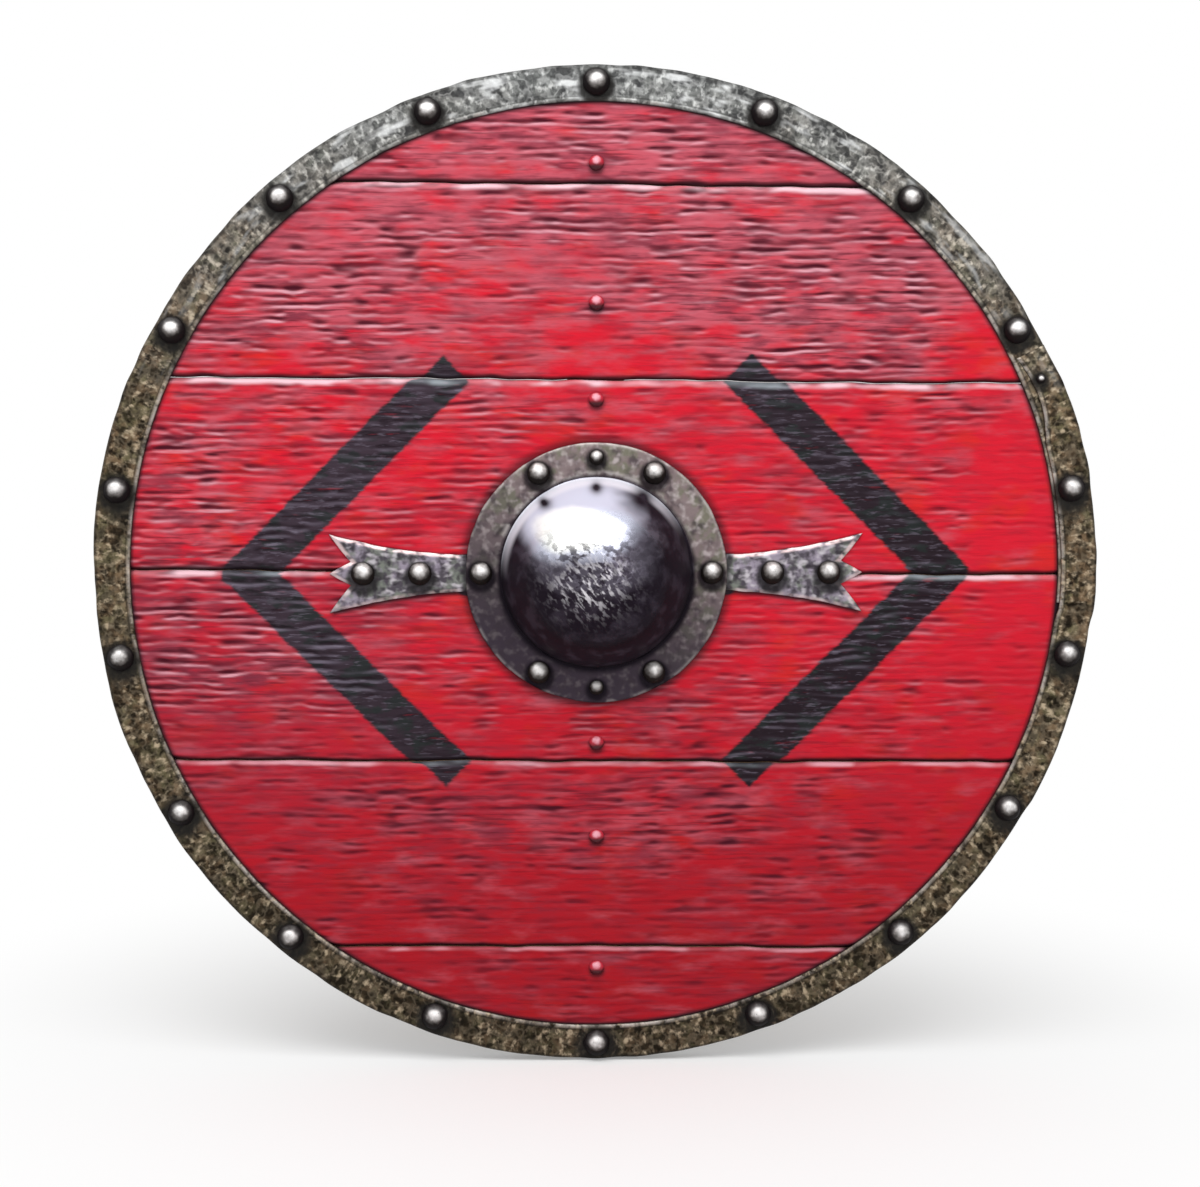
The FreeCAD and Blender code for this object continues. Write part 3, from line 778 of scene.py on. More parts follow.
def weather_at(x, z):
    """How weathered the face is, from 0 to 1."""
    total = 0.30 + 0.40 * rough(11, (60, 20), x, z)
    for *place_and_size, much in WEATHER:
        total = total + much * hump(x, z, *place_and_size)
    return np.clip(total, 0, 1)


def furrows_at(seed, x, z):
    """How deep the grain is furrowed, from 0 to 1: combed strokes that swell, thin out and end."""
    drift = 1.7 * rough(seed, (60, 20), x, z) + 0.30 * lattice(seed + 4, (10, 6), x, z)
    for at_x, at_z, radius, move in KNOTS:
        bend = hump(x, z, at_x, at_z, radius, radius / KNOT_SQUASH)
        drift = drift + move * bend * np.clip((z - at_z) / 5, -1, 1)
    across = z + drift
    sway = lattice(seed + 6, (32, 8), x, across)
    swell = 0.5 + 0.5 * lattice(seed + 3, (8, 3.2), x, across)
    thin = lattice(seed + 5, (7, 1.7), x, across)
    fine = lattice(seed + 10, (9, 2.5), x, across)
    broad = lattice(seed + 9, (14, 5.2), x, across)
    stroke = lattice(seed + 7, (10, 4.0), x, across)
    patch = lattice(seed + 8, (26, 11), x, across)
    wave = np.sin(2 * math.pi * across / FURROW_PITCH + 2.0 * sway) * (0.20 + 0.80 * swell)
    plain = ramp(0.10, 0.42, rough(seed + 12, (26, 13), x, z, octaves=2))
    much = ramp(-0.30, 0.85, 0.85 * weather_at(x, z) + 0.34 * stroke + 0.25 * patch) * (1 - 0.72 * plain)
    return ramp(-0.25, 1.15, 0.86 * wave + 0.34 * thin + 0.48 * fine + 0.60 * broad) * much


def seam_line(height, number, x):
    """Where a seam runs: almost level, a little wavy."""
    wave = 0.7 * rough(40 + number, (60, 1), x, x * 0, octaves=2)
    return height - SEAM_TILT * x + wave + 0.45 * lattice(46 + number, (13, 1), x, x * 0)


def arm_half(along, fork):
    """Half the height of a forked arm, where along runs from 0 at the flange to 1 at the fork's points."""
    bow = (ARM_WAIST - ARM_NECK) / 2 / ARM_WAIST_SHARE
    flare = (fork - ARM_NECK / 2 - bow) / (1 - ARM_WAIST_SHARE)
    return ARM_NECK / 2 + bow * along + flare * along * (along - ARM_WAIST_SHARE)


def shadow_and_grime_at(x, z):
    """Soiling and painted shadow on the face, where iron stands on it: painted shadow by the rim's lip, round
    the flange, beside the arms and under the nails, with soiling streaks below the nails.
    """
    radius = np.hypot(x, z)
    # Painted shadow by the rim's lip and round the flange
    total = ramp(RIM_LIP - 3, RIM_LIP + 0.5, radius) + 0.7 * ramp(FLANGE_RADIUS + 6, FLANGE_RADIUS, radius)
    along = np.clip((np.abs(x) - FLANGE_RADIUS) / (arm_high.x - FLANGE_RADIUS), 0, 1)
    half = arm_half(along, arm_high.z)
    level = np.where(z < 0, -z, z + 2.2)
    # Painted shadow beside the arms, mostly under them
    beside = ramp(half + 3.6, half + 0.6, level) * ramp(half - 3, half - 1, level)
    total = total + 0.85 * beside * ramp(arm_high.x, arm_high.x - 3, np.abs(x))
    for box in board_nail_boxes:
        below = middle(box)[1] - z
        # Painted shadow just under each nail, and a soiling streak that runs down from it
        total = total + 0.55 * ramp(6.6, 3.6, np.hypot(x, 1.6 - below))
        streak = ramp(6.5, 2.0, np.abs(x)) * ramp(20, 5, below) * ramp(-2, 2, below)
        total = total + 0.25 * streak * (0.5 + 0.5 * lattice(77, (6, 3), x, z))
    return np.clip(total, 0, 1)


def half_board(side, rows, low_line, high_line, hole, seed, low_seam, high_seam, edge_wear_and_light):
    """One half of a board, from x = 0 or the hand hole out to the rim: points, faces, fields, finishes."""
    columns = COLUMNS + 1
    share = np.linspace(0, 1, columns)[None, :]
    level = np.linspace(0, 1, rows)[:, None]
    nominal = low_line(0.0) + level * (high_line(0.0) - low_line(0.0))
    reach = np.sqrt(np.maximum(BOARD_EDGE**2 - nominal**2, 0))
    start = np.sqrt(np.maximum(hole**2 - nominal**2, 0))
    x = side * (start + (reach - start) * share)
    low, high = low_line(x), high_line(x)
    z = low + level * (high - low)

    furrow = furrows_at(seed, x, z)
    above = furrows_at(seed, x, z + LIP_SHIFT)
    weather = weather_at(x, z)
    hollow = 0.22 * uneven(seed + 20, (26, 9), x, z)
    chip = uneven(seed + 30, (14, 6), x, z)
    wear_and_light = uneven(seed + 35, (24, 12), x, z)
    from_low, from_high = z - low, high - z
    low_bevel = 2.0 + 2.2 * chip if low_seam else NO_BEVEL
    high_bevel = edge_wear_and_light * (1.2 + chip) if high_seam else NO_BEVEL
    roll = 3.0 * np.clip(1 - from_low / low_bevel, 0, 1) ** 1.6
    roll = roll + 2.2 * np.clip(1 - from_high / high_bevel, 0, 1) ** 1.7
    front = BOARD_FRONT + FURROW_DEPTH * furrow * (0.55 + 0.45 * weather) + hollow + roll
    lit_crest = shade = x * 0
    if high_seam:
        # Wear and a painted highlight on the upper edge, which faces the light above
        pale_share = ramp(3.6 * edge_wear_and_light, 1.3 * edge_wear_and_light, from_high + 1.4 * (0.5 - chip)) * edge_wear_and_light
        lit_crest = pale_share * (0.16 + 0.72 * ramp(0.36, 0.64, wear_and_light))
    if low_seam:
        # Painted shade on the lower edge, which rolls away and faces down
        shade = ramp(3.4, 0.9, from_low + 0.5 - chip)

    kept = (slice(None), slice(0, columns, BACK_EVERY))
    back_columns = COLUMNS // BACK_EVERY + 1
    relief = 0.35 * uneven(seed + 50, (50, 3), x[kept], z[kept])
    rounding = 0.8 * (ramp(BACK_ROUNDING, 0, from_low[kept]) + ramp(BACK_ROUNDING, 0, from_high[kept]))
    points = np.concatenate([stacked(x, front, z), stacked(x[kept], BOARD_BACK - relief - rounding, z[kept])])
    first = rows * columns
    painted = quads(rows, columns)
    bare = quads(rows, back_columns, first)
    for row in (0, rows - 1):
        for column in range(back_columns - 1):
            under = first + row * back_columns + column
            over = [row * columns + column * BACK_EVERY + k for k in range(BACK_EVERY, -1, -1)]
            bare.append([under, under + 1, *over])
    for row in range(rows - 1):
        ends = [(COLUMNS, back_columns - 1)]
        if start[row, 0] > 0 or start[row + 1, 0] > 0:
            ends.append((0, 0))
        for column, back_column in ends:
            near = row * columns + column
            far = first + row * back_columns + back_column
            bare.append([near, near + columns, far + back_columns, far])
    # Painted highlight, with some wear, on the slope under each furrow, which faces the light above
    lip = np.clip(1.25 * above - 0.8 * furrow, 0, 1) * (0.22 + 0.78 * weather)
    fields = {
        "furrow": (furrow, 0.0), "lip": (lip, 0.0), "weather": (weather, 0.3),
        "grime_and_shade": (shadow_and_grime_at(x, z), 0.0), "lit_crest": (lit_crest, 0.0), "shade": (shade, 0.0),
    }
    fields = {
        key: np.concatenate([values.ravel(), np.full(rows * back_columns, behind)])
        for key, (values, behind) in fields.items()
    }
    return points, painted, bare, fields


def make_board(number):
    """A carved plank. Its seams run a little out of level, and its face is cut only inwards."""
    low, high = corners(f"board_{number}")
    low_seam, high_seam = number < 6, number > 1
    low_height = (low.z - SEAM_GAP / 2) if low_seam else -OUTER_BOARD_REACH
    high_height = (high.z + SEAM_GAP / 2) if high_seam else OUTER_BOARD_REACH

    def low_line(x):
        return seam_line(low_height, number, x) + SEAM_GAP / 2 if low_seam else low_height + x * 0

    def high_line(x):
        return seam_line(high_height, number - 1, x) - SEAM_GAP / 2 if high_seam else high_height + x * 0

    rows = int((high_height - low_height) / ROW_PITCH)
    hole = HAND_HOLE_RADIUS if number in (3, 4) else 0.0
    halves = [
        half_board(side, rows, low_line, high_line, hole, 100 * number, low_seam, high_seam, EDGE_WEAR_AND_LIGHT[number])
        for side in (-1, 1)
    ]
    points, painted = gather([(points, painted) for points, painted, _, _ in halves])
    _, bare = gather([(points, bare) for points, _, bare, _ in halves])
    fields = {key: np.concatenate([half[3][key] for half in halves]) for key in halves[0][3]}
    return make_piece(
        f"plank_{number}", [f"board_{number}"], [PAINT, BACK_WOOD],
        points, painted + bare, fields, [0] * len(painted) + [1] * len(bare),
    )


# Rim

RIM_STEPS = 1280
RIM_START = -3.85
LAP_START = 356.0
LAP_END = 387.0
JOGGLE = 3.0
LAP_THINS = 5.5
LENS_START = 376.0
LENS_LENGTH = 12.5
LENS_DEPTH = 4.6
RIM_CORNER = 2.4
# The lip's roll: past its edge, behind the front, and share of hammering
LIP_ROLL = (
    (0.2, RIM_SHEET, 0.0), (0.0, 1.0, 0.0), (0.5, 0.35, 0.1), (1.3, 0.05, 0.2), (2.2, 0.0, 0.3),
    (3.0, 0.35, 0.6),
)
# Where points stand in the section, counted from the lip's foot
LIP_CROWN = (2, 3)
LIP_SLOPE = 4
LIP_GROOVE = 5
OUTER_BEND = (24, 29)


def rim_section(lift, lip, outer):
    """The closed section of the strip as (radius, y, share of hammering), from the lip's foot."""
    front = BOARD_FRONT - RIM_SHEET - lift
    back = BOARD_BACK + RIM_SHEET + lift
    back_lip = lip + RIM_BACK_LIP - RIM_LIP
    start, face_end = lip + 3.9, outer - RIM_CORNER
    side = back - front - 2 * RIM_CORNER
    section = [(lip + past, front + behind, share) for past, behind, share in LIP_ROLL]
    section += [(start + (face_end - start) * k / 17, front + 0.30, 1.0) for k in range(18)]
    section += [(r, y, 0.8) for r, y in arc((face_end, front + RIM_CORNER), RIM_CORNER, 70, 0, 5)]
    section += [(outer, front + RIM_CORNER + side * k / 5, 0.5) for k in range(1, 5)]
    section += [(r, y, 0.6) for r, y in arc((face_end, back - RIM_CORNER), RIM_CORNER, 0, -90, 6)]
    section += [(face_end + (back_lip - face_end) * k / 9, back, 0.8) for k in range(1, 9)]
    section += [(back_lip + 0.8, back, 0.3), (back_lip, back - 0.5, 0.0), (back_lip, back - RIM_SHEET, 0.0)]
    inner = outer - RIM_SHEET
    return section + [(inner, back - RIM_SHEET, 0.0), (inner, front + RIM_SHEET, 0.0)]


def make_rim():
    """One hammered strip folded round the boards. Its end climbs on to its start and laps over it."""
    degrees = np.linspace(RIM_START, LAP_END, RIM_STEPS)
    angle = np.radians(degrees)
    cx, cz = np.cos(angle), np.sin(angle)
    climb = ramp(LAP_START - JOGGLE, LAP_START, degrees)
    cuts = 0.6 + 1.1 * rough(61, 1, cx * 7, cz * 7) + 0.45 * lattice(65, 1, cx * 24, cz * 24)
    thin = 0.85 * LAP_LIFT * ramp(LAP_END - LAP_THINS, LAP_END, degrees)
    outer = RIM_RADIUS + climb * LAP_LIFT - np.maximum(cuts, 0.02) - thin
    in_lens = np.clip((degrees - LENS_START) / LENS_LENGTH, 0, 1)
    lip = RIM_LIP + 1.6 * climb + LENS_DEPTH * np.sin(math.pi * in_lens)
    lip = lip + 0.35 * rough(67, 1, cx * 9, cz * 9, octaves=2)
    section = np.array([rim_section(*values) for values in zip(climb * LAP_LIFT - thin, lip, outer)])
    radius, depth, hammer = section[..., 0], section[..., 1], section[..., 2]
    angle, cx, cz = angle[:, None], cx[:, None], cz[:, None]
    x, z = radius * cx, radius * cz
    blows = uneven(71, 9, x, z, depth, octaves=2)
    pits = ramp(0.35, 0.75, lattice(75, 3.4, x, z, depth))
    inward = hammer * (0.30 * blows + 0.38 * pits)
    from_middle = depth - (BOARD_FRONT + BOARD_BACK) / 2
    flat = np.abs(from_middle) > 5.0
    depth = depth + np.where(flat, np.where(from_middle < 0, inward, -inward), 0)
    shrink = np.where(flat, 0, inward)
    x, z = (radius - shrink) * cx, (radius - shrink) * cz

    number = np.broadcast_to(np.arange(section.shape[1]), radius.shape)
    patchy = uneven(69, 1, cx * 16, cz * 16, octaves=2)
    upper = ramp(0.2, 0.8, cz)
    # Wear and a painted highlight on the lip's crown, dimmer on the upper half where the lip faces down
    pale_share = (0.45 + 0.55 * ramp(0.35, 0.65, patchy)) * (1 - upper * (1 - ramp(0.55, 0.75, patchy)) * 0.85)
    edge = np.where(np.isin(number, LIP_CROWN), 0.85, np.where(number == LIP_SLOPE, 0.35, 0.0)) * pale_share
    # Soiling and painted shade at the lip's foot and in its groove, more painted shade on the upper half, and
    # darker patches along the outer bend
    grime_and_shade = np.where((number < LIP_CROWN[0]) | (number == LIP_GROOVE), 0.60, 0.0)
    grime_and_shade = grime_and_shade + np.where(number <= LIP_CROWN[0], 0.35, 0.0) * upper
    bend = (number >= OUTER_BEND[0]) & (number <= OUTER_BEND[1])
    grime_and_shade = np.where(bend, 0.25 + 0.45 * patchy, grime_and_shade)
    # Dark halos round the heads: soiling and painted shadow, reaching further below each head and on the
    # lower half
    reach = 4.4 + 8.0 * ramp(0.7, -0.3, cz) * patchy
    for box in rim_rivet_boxes + joint_nail_boxes:
        head = half_width(box)
        grime_and_shade = np.maximum(grime_and_shade, 0.95 * ramp(head + reach, head + 0.6, from_head(box, x, z, 0.22)))
    fields = {
        "pit": pits * hammer, "edge": edge, "grime_and_shade": grime_and_shade,
        "along": np.broadcast_to(angle * RIM_RADIUS, radius.shape), "across": radius,
    }
    return make_piece(
        "rim_strip", ["rim_band"], [RIM_IRON], stacked(x, depth, z),
        tube(RIM_STEPS, section.shape[1]), fields,
    )


# Boss

BOSS_COLUMNS = 320
BOSS_ROOT_RADIUS = 1.8
DOME_RADIUS = FLANGE_RADIUS - FLANGE_WIDTH
DOME_HEIGHT = boss_high.y - BOSS_SHEET - boss_low.y
TRIM_REACH = 6.0
# Painted reflections of the three top rivets, dark spots in the dome's painted reflections, as shares of the
# dome's radius: side, rise, half width and half height
DOME_RIVET_REFLECTIONS = ((-0.55, 0.76, 0.075, 0.060), (-0.01, 0.92, 0.065, 0.055), (0.47, 0.80, 0.120, 0.110))


def make_boss():
    """A raised iron dome with a hammered flange, open behind."""
    sphere = (DOME_RADIUS**2 + DOME_HEIGHT**2) / (2 * DOME_HEIGHT)
    centre = boss_low.y + sphere
    back = boss_high.y
    front = back - BOSS_SHEET
    edge = FLANGE_RADIUS
    foot = front - BOSS_ROOT_RADIUS
    root = math.sqrt((sphere + BOSS_ROOT_RADIUS) ** 2 - (centre - foot) ** 2)
    slope = math.degrees(math.atan2(centre - foot, root))
    profile = arc((0, centre), sphere, 90, slope, 96)
    profile += arc((root, foot), BOSS_ROOT_RADIUS, 180 + slope, 270, 8)[1:]
    dome_rows = len(profile) - 4
    profile += line((root + 1.0, front), (edge - 1.2, front), 20)
    profile += [(edge - 1.2, front), (edge - 0.4, front + 0.25), (edge, front + 0.8), (edge - 0.1, back)]
    inside = line((edge - 2, back), (root + 1, back), 5)
    inside += arc((root, foot), BOSS_ROOT_RADIUS + BOSS_SHEET, 270, 180 + slope, 6)[:-1]
    inside += arc((0, centre), sphere - BOSS_SHEET, slope, 90, 40)
    outside_rows = len(profile) + 4
    profile += inside
    points, faces = turned(profile, BOSS_COLUMNS)
    x, y, z = points.T
    radius = np.hypot(x, z)
    row = np.repeat(np.arange(len(profile)), BOSS_COLUMNS)
    outside = row < outside_rows
    on_flange = (row >= dome_rows) & outside
    dome = outside & ~on_flange

    turn = np.arctan2(z, x)
    trim = 1.1 * uneven(81, 1, np.cos(turn) * 4, np.sin(turn) * 4) * ramp(edge - TRIM_REACH, edge, radius)
    shrink = 1 - np.where(radius > edge - TRIM_REACH, trim, 0) / np.maximum(radius, 1)
    x, z = x * shrink, z * shrink
    small = lattice(87, 3.0, x, y, z) + 0.45 * lattice(88, 1.7, x, y, z)
    pits = ramp(0.25, 0.7, small) * hump(x, z, 4, -4, 40, 24) * ~on_flange
    dents = 0.26 * uneven(83, 17, x, y, z, octaves=2) + 0.22 * pits
    sink = np.where(on_flange, 0.28 * uneven(89, 8, x, y, z, octaves=2), dents)
    sink = np.where(outside, sink + 0.07 * uneven(97, 6, x, y, z, octaves=2), 0)
    normal = np.stack([x, y - centre, z], -1)
    normal = normal / np.linalg.norm(normal, axis=1, keepdims=True)
    normal = np.where(on_flange[:, None], np.array([0.0, -1.0, 0.0]), normal)
    points = np.stack([x, y, z], -1) - normal * sink[:, None]

    side, rise = x / DOME_RADIUS, z / DOME_RADIUS
    # Painted shadow round the dome's root, on its lower half only
    grime_and_shade = 0.9 * ramp(root + 4.0, root - 1.0, radius) * ramp(DOME_RADIUS - 3.5, DOME_RADIUS - 0.5, radius)
    grime_and_shade = grime_and_shade * ramp(0.35, -0.30, rise)
    # Soiling and painted shadow round the heads on the flange, reaching further below them
    for box in boss_rivet_boxes + boss_nail_boxes:
        head = half_width(box) if half_width(box) < 10 else 7
        ring = from_head(box, x, z, 0.22)
        grime_and_shade = np.maximum(grime_and_shade, on_flange * 0.9 * ramp(head + 3.6, head + 0.4, ring))
    cloud = rough(98, 15, x, y, z)
    turned_up = np.hypot(side, rise)
    # Painted reflections and highlight on the dome's upper part: the sky, the lamp's glare, a grey mist and a
    # lit strip along the upper edge, with the top rivets' reflections cut out as dark spots
    sky = oval(side, rise, -0.22, 0.62, 0.62, 0.43) + 0.36 * cloud
    glare = oval(side, rise, -0.26, 0.51, 0.40, 0.23) + 0.45 * cloud
    mist = oval(side, rise, -0.07, 0.30, 0.72, 0.43) + 0.5 * cloud
    scraped = oval(side, rise, -0.10, -0.03, 0.30, 0.25) + 0.6 * cloud
    worn_belt = ((side + 0.02) / 0.56) ** 4 + ((rise - 0.08) / 0.40) ** 4
    rivet_reflections = sum(hump(side, rise, *mark) for mark in DOME_RIVET_REFLECTIONS)
    clear = np.clip(1 - 1.15 * rivet_reflections, 0, 1) * dome
    rim_light = ramp(0.915, 0.965, turned_up) * ramp(0.15, 0.85, rise - 0.25 * side)
    # Painted highlights on the flange: a glint beside the root on its upper side, and the edge paler towards
    # the top as well as from filing
    glint = ramp(root + 4.0, root + 0.8, radius) * ramp(0.05, 0.75, rise - 0.15 * side)
    filed_and_lit = ramp(edge - 2.6, edge - 1.2, radius) * (0.30 + 0.25 * ramp(-0.3, 0.6, rise))
    fields = {
        "sky_reflection": ramp(1.45, 0.55, sky) * clear,
        "haze_reflection": ramp(1.30, 0.40, mist) * clear,
        "bright_highlight": ramp(1.35, 0.65, glare) * clear,
        "lit_band": rim_light * clear,
        "scuff": np.exp(-worn_belt) * dome,
        "scraped": np.exp(-np.clip(scraped, 0, None)) * dome,
        "rind": ramp(0.66, 0.84, turned_up) * dome,
        "flange": ramp(root - 1.0, root + 2.0, radius) * on_flange,
        "pit": pits * dome,
        "edge": np.maximum(glint, filed_and_lit) * on_flange,
        "grime_and_shade": grime_and_shade * outside,
    }
    return make_piece("boss_shell", ["boss"], [BOSS_IRON], points, faces, fields)


# Forked arms

ARM_SHEET = 2.0
ARM_TUCK = 1.2
ARM_NOTCH_SPAN = 16.6
ARM_NOTCH_DEPTH = 13.0
ARM_BEVEL = 2.9
ARM_ROWS = 96
ARM_COLUMNS = 65


def make_arm(node, side):
    """A forked plate that runs out from under the flange, with filed edges."""
    low, high = corners(node)
    reach = max(abs(low.x), abs(high.x))
    fork = high.z
    start = FLANGE_RADIUS - ARM_TUCK
    share = np.linspace(0, 1, ARM_ROWS)[:, None]
    across = np.linspace(-1, 1, ARM_COLUMNS)[None, :]
    notch = ARM_NOTCH_SPAN / 2 / fork
    tooth = np.minimum(np.abs(across) / notch, (1 - np.abs(across)) / (1 - notch))
    end = reach - ARM_NOTCH_DEPTH * tooth
    x = start + (end - start) * share
    half = arm_half((x - start) / (reach - start), fork)
    z = across * (half + 0.45 * (rough(91 + side, (9, 1), x, across * 3, octaves=2) - 0.5))
    to_side = (1 - np.abs(across)) * half
    to_end = (1 - share) * (end - start) * 0.55
    to_edge = np.minimum(to_side, np.where(share > 0.5, to_end, to_side))
    chamfer = np.clip(1 - to_edge / ARM_BEVEL, 0, 1)
    pits = ramp(0.2, 0.7, lattice(95 + side, 3.0, x, z))
    hollow = 0.18 * uneven(93 + side, 9, x, z, octaves=2) + 0.22 * pits
    tuck = 0.7 * ramp(start + 5, start + 2, x)
    front = BOARD_FRONT - ARM_SHEET + hollow + 1.1 * chamfer**1.3 + tuck
    points = np.concatenate([stacked(side * x, front, z), stacked(side * x, BOARD_FRONT, z)])

    # Wear and a painted highlight on the edges, paler on the upper edge
    bright_highlight = ramp(0.10, 0.55, chamfer) * (0.45 + 0.5 * ramp(-6, 6, z)) * ramp(start + 3, start + 7, x)
    # Painted shade where the plate runs under the flange, and soiling with painted shadow round the heads
    grime_and_shade = 0.8 * ramp(start + 5, start + 1, x)
    for box in arm_rivet_boxes + boss_rivet_boxes:
        grime_and_shade = np.maximum(grime_and_shade, 0.9 * ramp(11.0, 8.0, from_head(box, side * x, z, 0.30)))
    fields = {
        key: np.concatenate([values, values * 0])
        for key, values in (("pit", pits), ("edge", bright_highlight), ("grime_and_shade", grime_and_shade))
    }
    faces = plate(ARM_ROWS, ARM_COLUMNS)
    return make_piece(f"{node}_plate", [node], [ARM_IRON], points, faces, fields)


# Rivets and nails

SEAT = 0.02
RIVET_SHANK = 2.5
RIVET_TAIL_RADIUS = 4.5
RIVET_COLUMNS = 40
NAIL_SHANK = 1.6
NAIL_RADIUS = 4.8
NAIL_HEAD = 3.2
NAIL_COLUMNS = 28


def head_profile(radius, height, seat, outward, steps):
    """A domed head from its crown on the axis to its edge, as (radius, y)."""
    sphere = (radius**2 + height**2) / (2 * height)
    centre = seat + outward * (height - sphere)
    limit = math.atan2(radius, sphere - height)
    angles = [limit * k / steps for k in range(steps + 1)]
    return [(sphere * math.sin(a), centre + outward * sphere * math.cos(a)) for a in angles]


def hammered(profile, columns, at, seed, amount, from_y):
    """A turned fastener moved to its place, with small flats and a slightly uneven outline."""
    points, faces = turned(profile, columns)
    x, y, z = points.T
    flats = uneven(seed, 4.2, x, y, z, octaves=2)
    swell = 1 - amount * flats
    y = from_y + (y - from_y) * (1 - amount * 0.8 * flats)
    return np.stack([x * swell + at[0], y, z * swell + at[1]], -1), faces


def make_rivets(name, node, boxes, head_height, tail_height, seed, shank=RIVET_SHANK, unshaded_share=0.80):
    """Domed rivets with hammered heads, darkened beyond a share of their radius by painted shade and soiling,
    and flattened tails.
    """
    parts, grime_and_shade = [], []
    for number, box in enumerate(boxes):
        head = half_width(box)
        seat, tail_seat = box[0][1] + head_height, box[1][1] - tail_height
        profile = head_profile(head, head_height, seat, -1, 16)
        profile += [(head * 0.985, seat + SEAT), (shank, seat + SEAT), (shank, tail_seat)]
        profile += head_profile(min(RIVET_TAIL_RADIUS, head), tail_height, tail_seat, 1, 8)[::-1]
        parts.append(hammered(profile, RIVET_COLUMNS, middle(box), seed + number, 0.075, seat))
        ring, high = np.array(profile).T
        # Each head darker beyond a share of its radius: painted shade and soiling round its lit crown
        dirt_and_shade = np.where(high <= seat + 1.5 * SEAT, ramp(unshaded_share, unshaded_share + 0.25, ring / head) * 0.80, 0.4)
        grime_and_shade.append(np.repeat(dirt_and_shade, RIVET_COLUMNS))
    points, faces = gather(parts)
    fields = {"grime_and_shade": np.concatenate(grime_and_shade)}
    return make_piece(name, [node], [RIVET_IRON], points, faces, fields)


def bent_point(at, end, side, length, seed):
    """The point of a nail that is bent over and hammered flat against the wood."""
    steps, columns = 16, 12
    share = np.linspace(0, 1, steps)[:, None]
    angles = np.linspace(0, 2 * math.pi, columns, endpoint=False)
    turn = np.minimum(share / 0.22, 1)
    x = at[0] + side * length * share
    y = end + 0.9 * NAIL_SHANK * np.sin(turn * math.pi / 2) - 0.2
    z = at[1] + 0.5 * np.sin(share * 3 + seed)
    width = NAIL_SHANK * (1.12 - 0.75 * share**2)
    height = NAIL_SHANK * (0.75 - 0.45 * share)
    points = stacked(x, y - height + height * np.sin(angles), z + width * np.cos(angles))
    return points, tube(steps, columns)


def make_nails(name, node, finish, boxes, seed, bent=False):
    """Small nails with low domed heads. Bent ones have their points laid over, as long as the box says."""
    parts, grime_and_shade = [], []
    for number, box in enumerate(boxes):
        at = (0.0 if bent else middle(box)[0], middle(box)[1])
        seat, end = box[0][1] + NAIL_HEAD, box[1][1] - (NAIL_SHANK if bent else 0)
        head = head_profile(NAIL_RADIUS, NAIL_HEAD, seat, -1, 12)
        head.append((NAIL_RADIUS * 0.98, seat + SEAT))
        shank = [(NAIL_SHANK, seat + SEAT), (NAIL_SHANK, end - 1), (NAIL_SHANK * 0.7, end), (0.0, end)]
        parts.append(hammered(head + shank, NAIL_COLUMNS, at, seed + number, 0.09, seat))
        # Each head darker at its rim: painted shade and soiling
        dirt_and_shade = [ramp(0.8, 1.0, radius / NAIL_RADIUS) * 0.6 for radius, _ in head] + [0.5] * len(shank)
        grime_and_shade.append(np.repeat(dirt_and_shade, NAIL_COLUMNS))
        if bent:
            side = 1 if middle(box)[0] > 0 else -1
            length = max(abs(box[0][0]), abs(box[1][0]))
            parts.append(bent_point(at, end, side, length, seed + 40 + number))
            grime_and_shade.append(np.full(len(parts[-1][0]), 0.25))
    points, faces = gather(parts)
    return make_piece(name, [node], [finish], points, faces, {"grime_and_shade": np.concatenate(grime_and_shade)})


# Roves

ROVE_CELLS = 12


def make_roves(name, node, boxes, seed):
    """Square iron washers set cornerwise, a little dished and uneven from the hammer."""
    parts, grime_and_shade = [], []
    side = ROVE_CELLS + 1
    faces = plate(side, side)
    u_grid, v_grid = np.meshgrid(np.linspace(-1, 1, side), np.linspace(-1, 1, side), indexing="ij")
    edge = np.maximum(np.abs(u_grid), np.abs(v_grid))
    u = u_grid * (1 - 0.05 * edge * np.abs(v_grid))
    v = v_grid * (1 - 0.05 * edge * np.abs(u_grid))
    for number, box in enumerate(boxes):
        at_x, at_z = middle(box)
        half = half_width(box) / math.sqrt(2)
        spin = math.atan2(at_z, at_x) + math.pi / 4
        x = at_x + half * (u * math.cos(spin) - v * math.sin(spin))
        z = at_z + half * (u * math.sin(spin) + v * math.cos(spin))
        bend = 0.25 * rough(seed + number, 1, u * 1.5, v * 1.5, octaves=2)
        top = box[1][1] - 0.2 - 20 * np.clip(edge - 0.84, 0, 1) ** 2 + np.minimum(bend, 0.15)
        parts.append((np.concatenate([stacked(x, top, z), stacked(x, box[0][1], z)]), faces))
        dirt_and_shade = 0.6 * ramp(6.5, 4.5, from_head(box, x, z, 0))
        grime_and_shade += [dirt_and_shade.ravel(), np.full(side * side, 0.5)]
    points, faces = gather(parts)
    total = np.concatenate(grime_and_shade)
    fields = {"grime_and_shade": total, "edge": total * 0, "pit": total * 0}
    return make_piece(name, [node], [ARM_IRON], points, faces, fields)


# Grip bar and sleeve

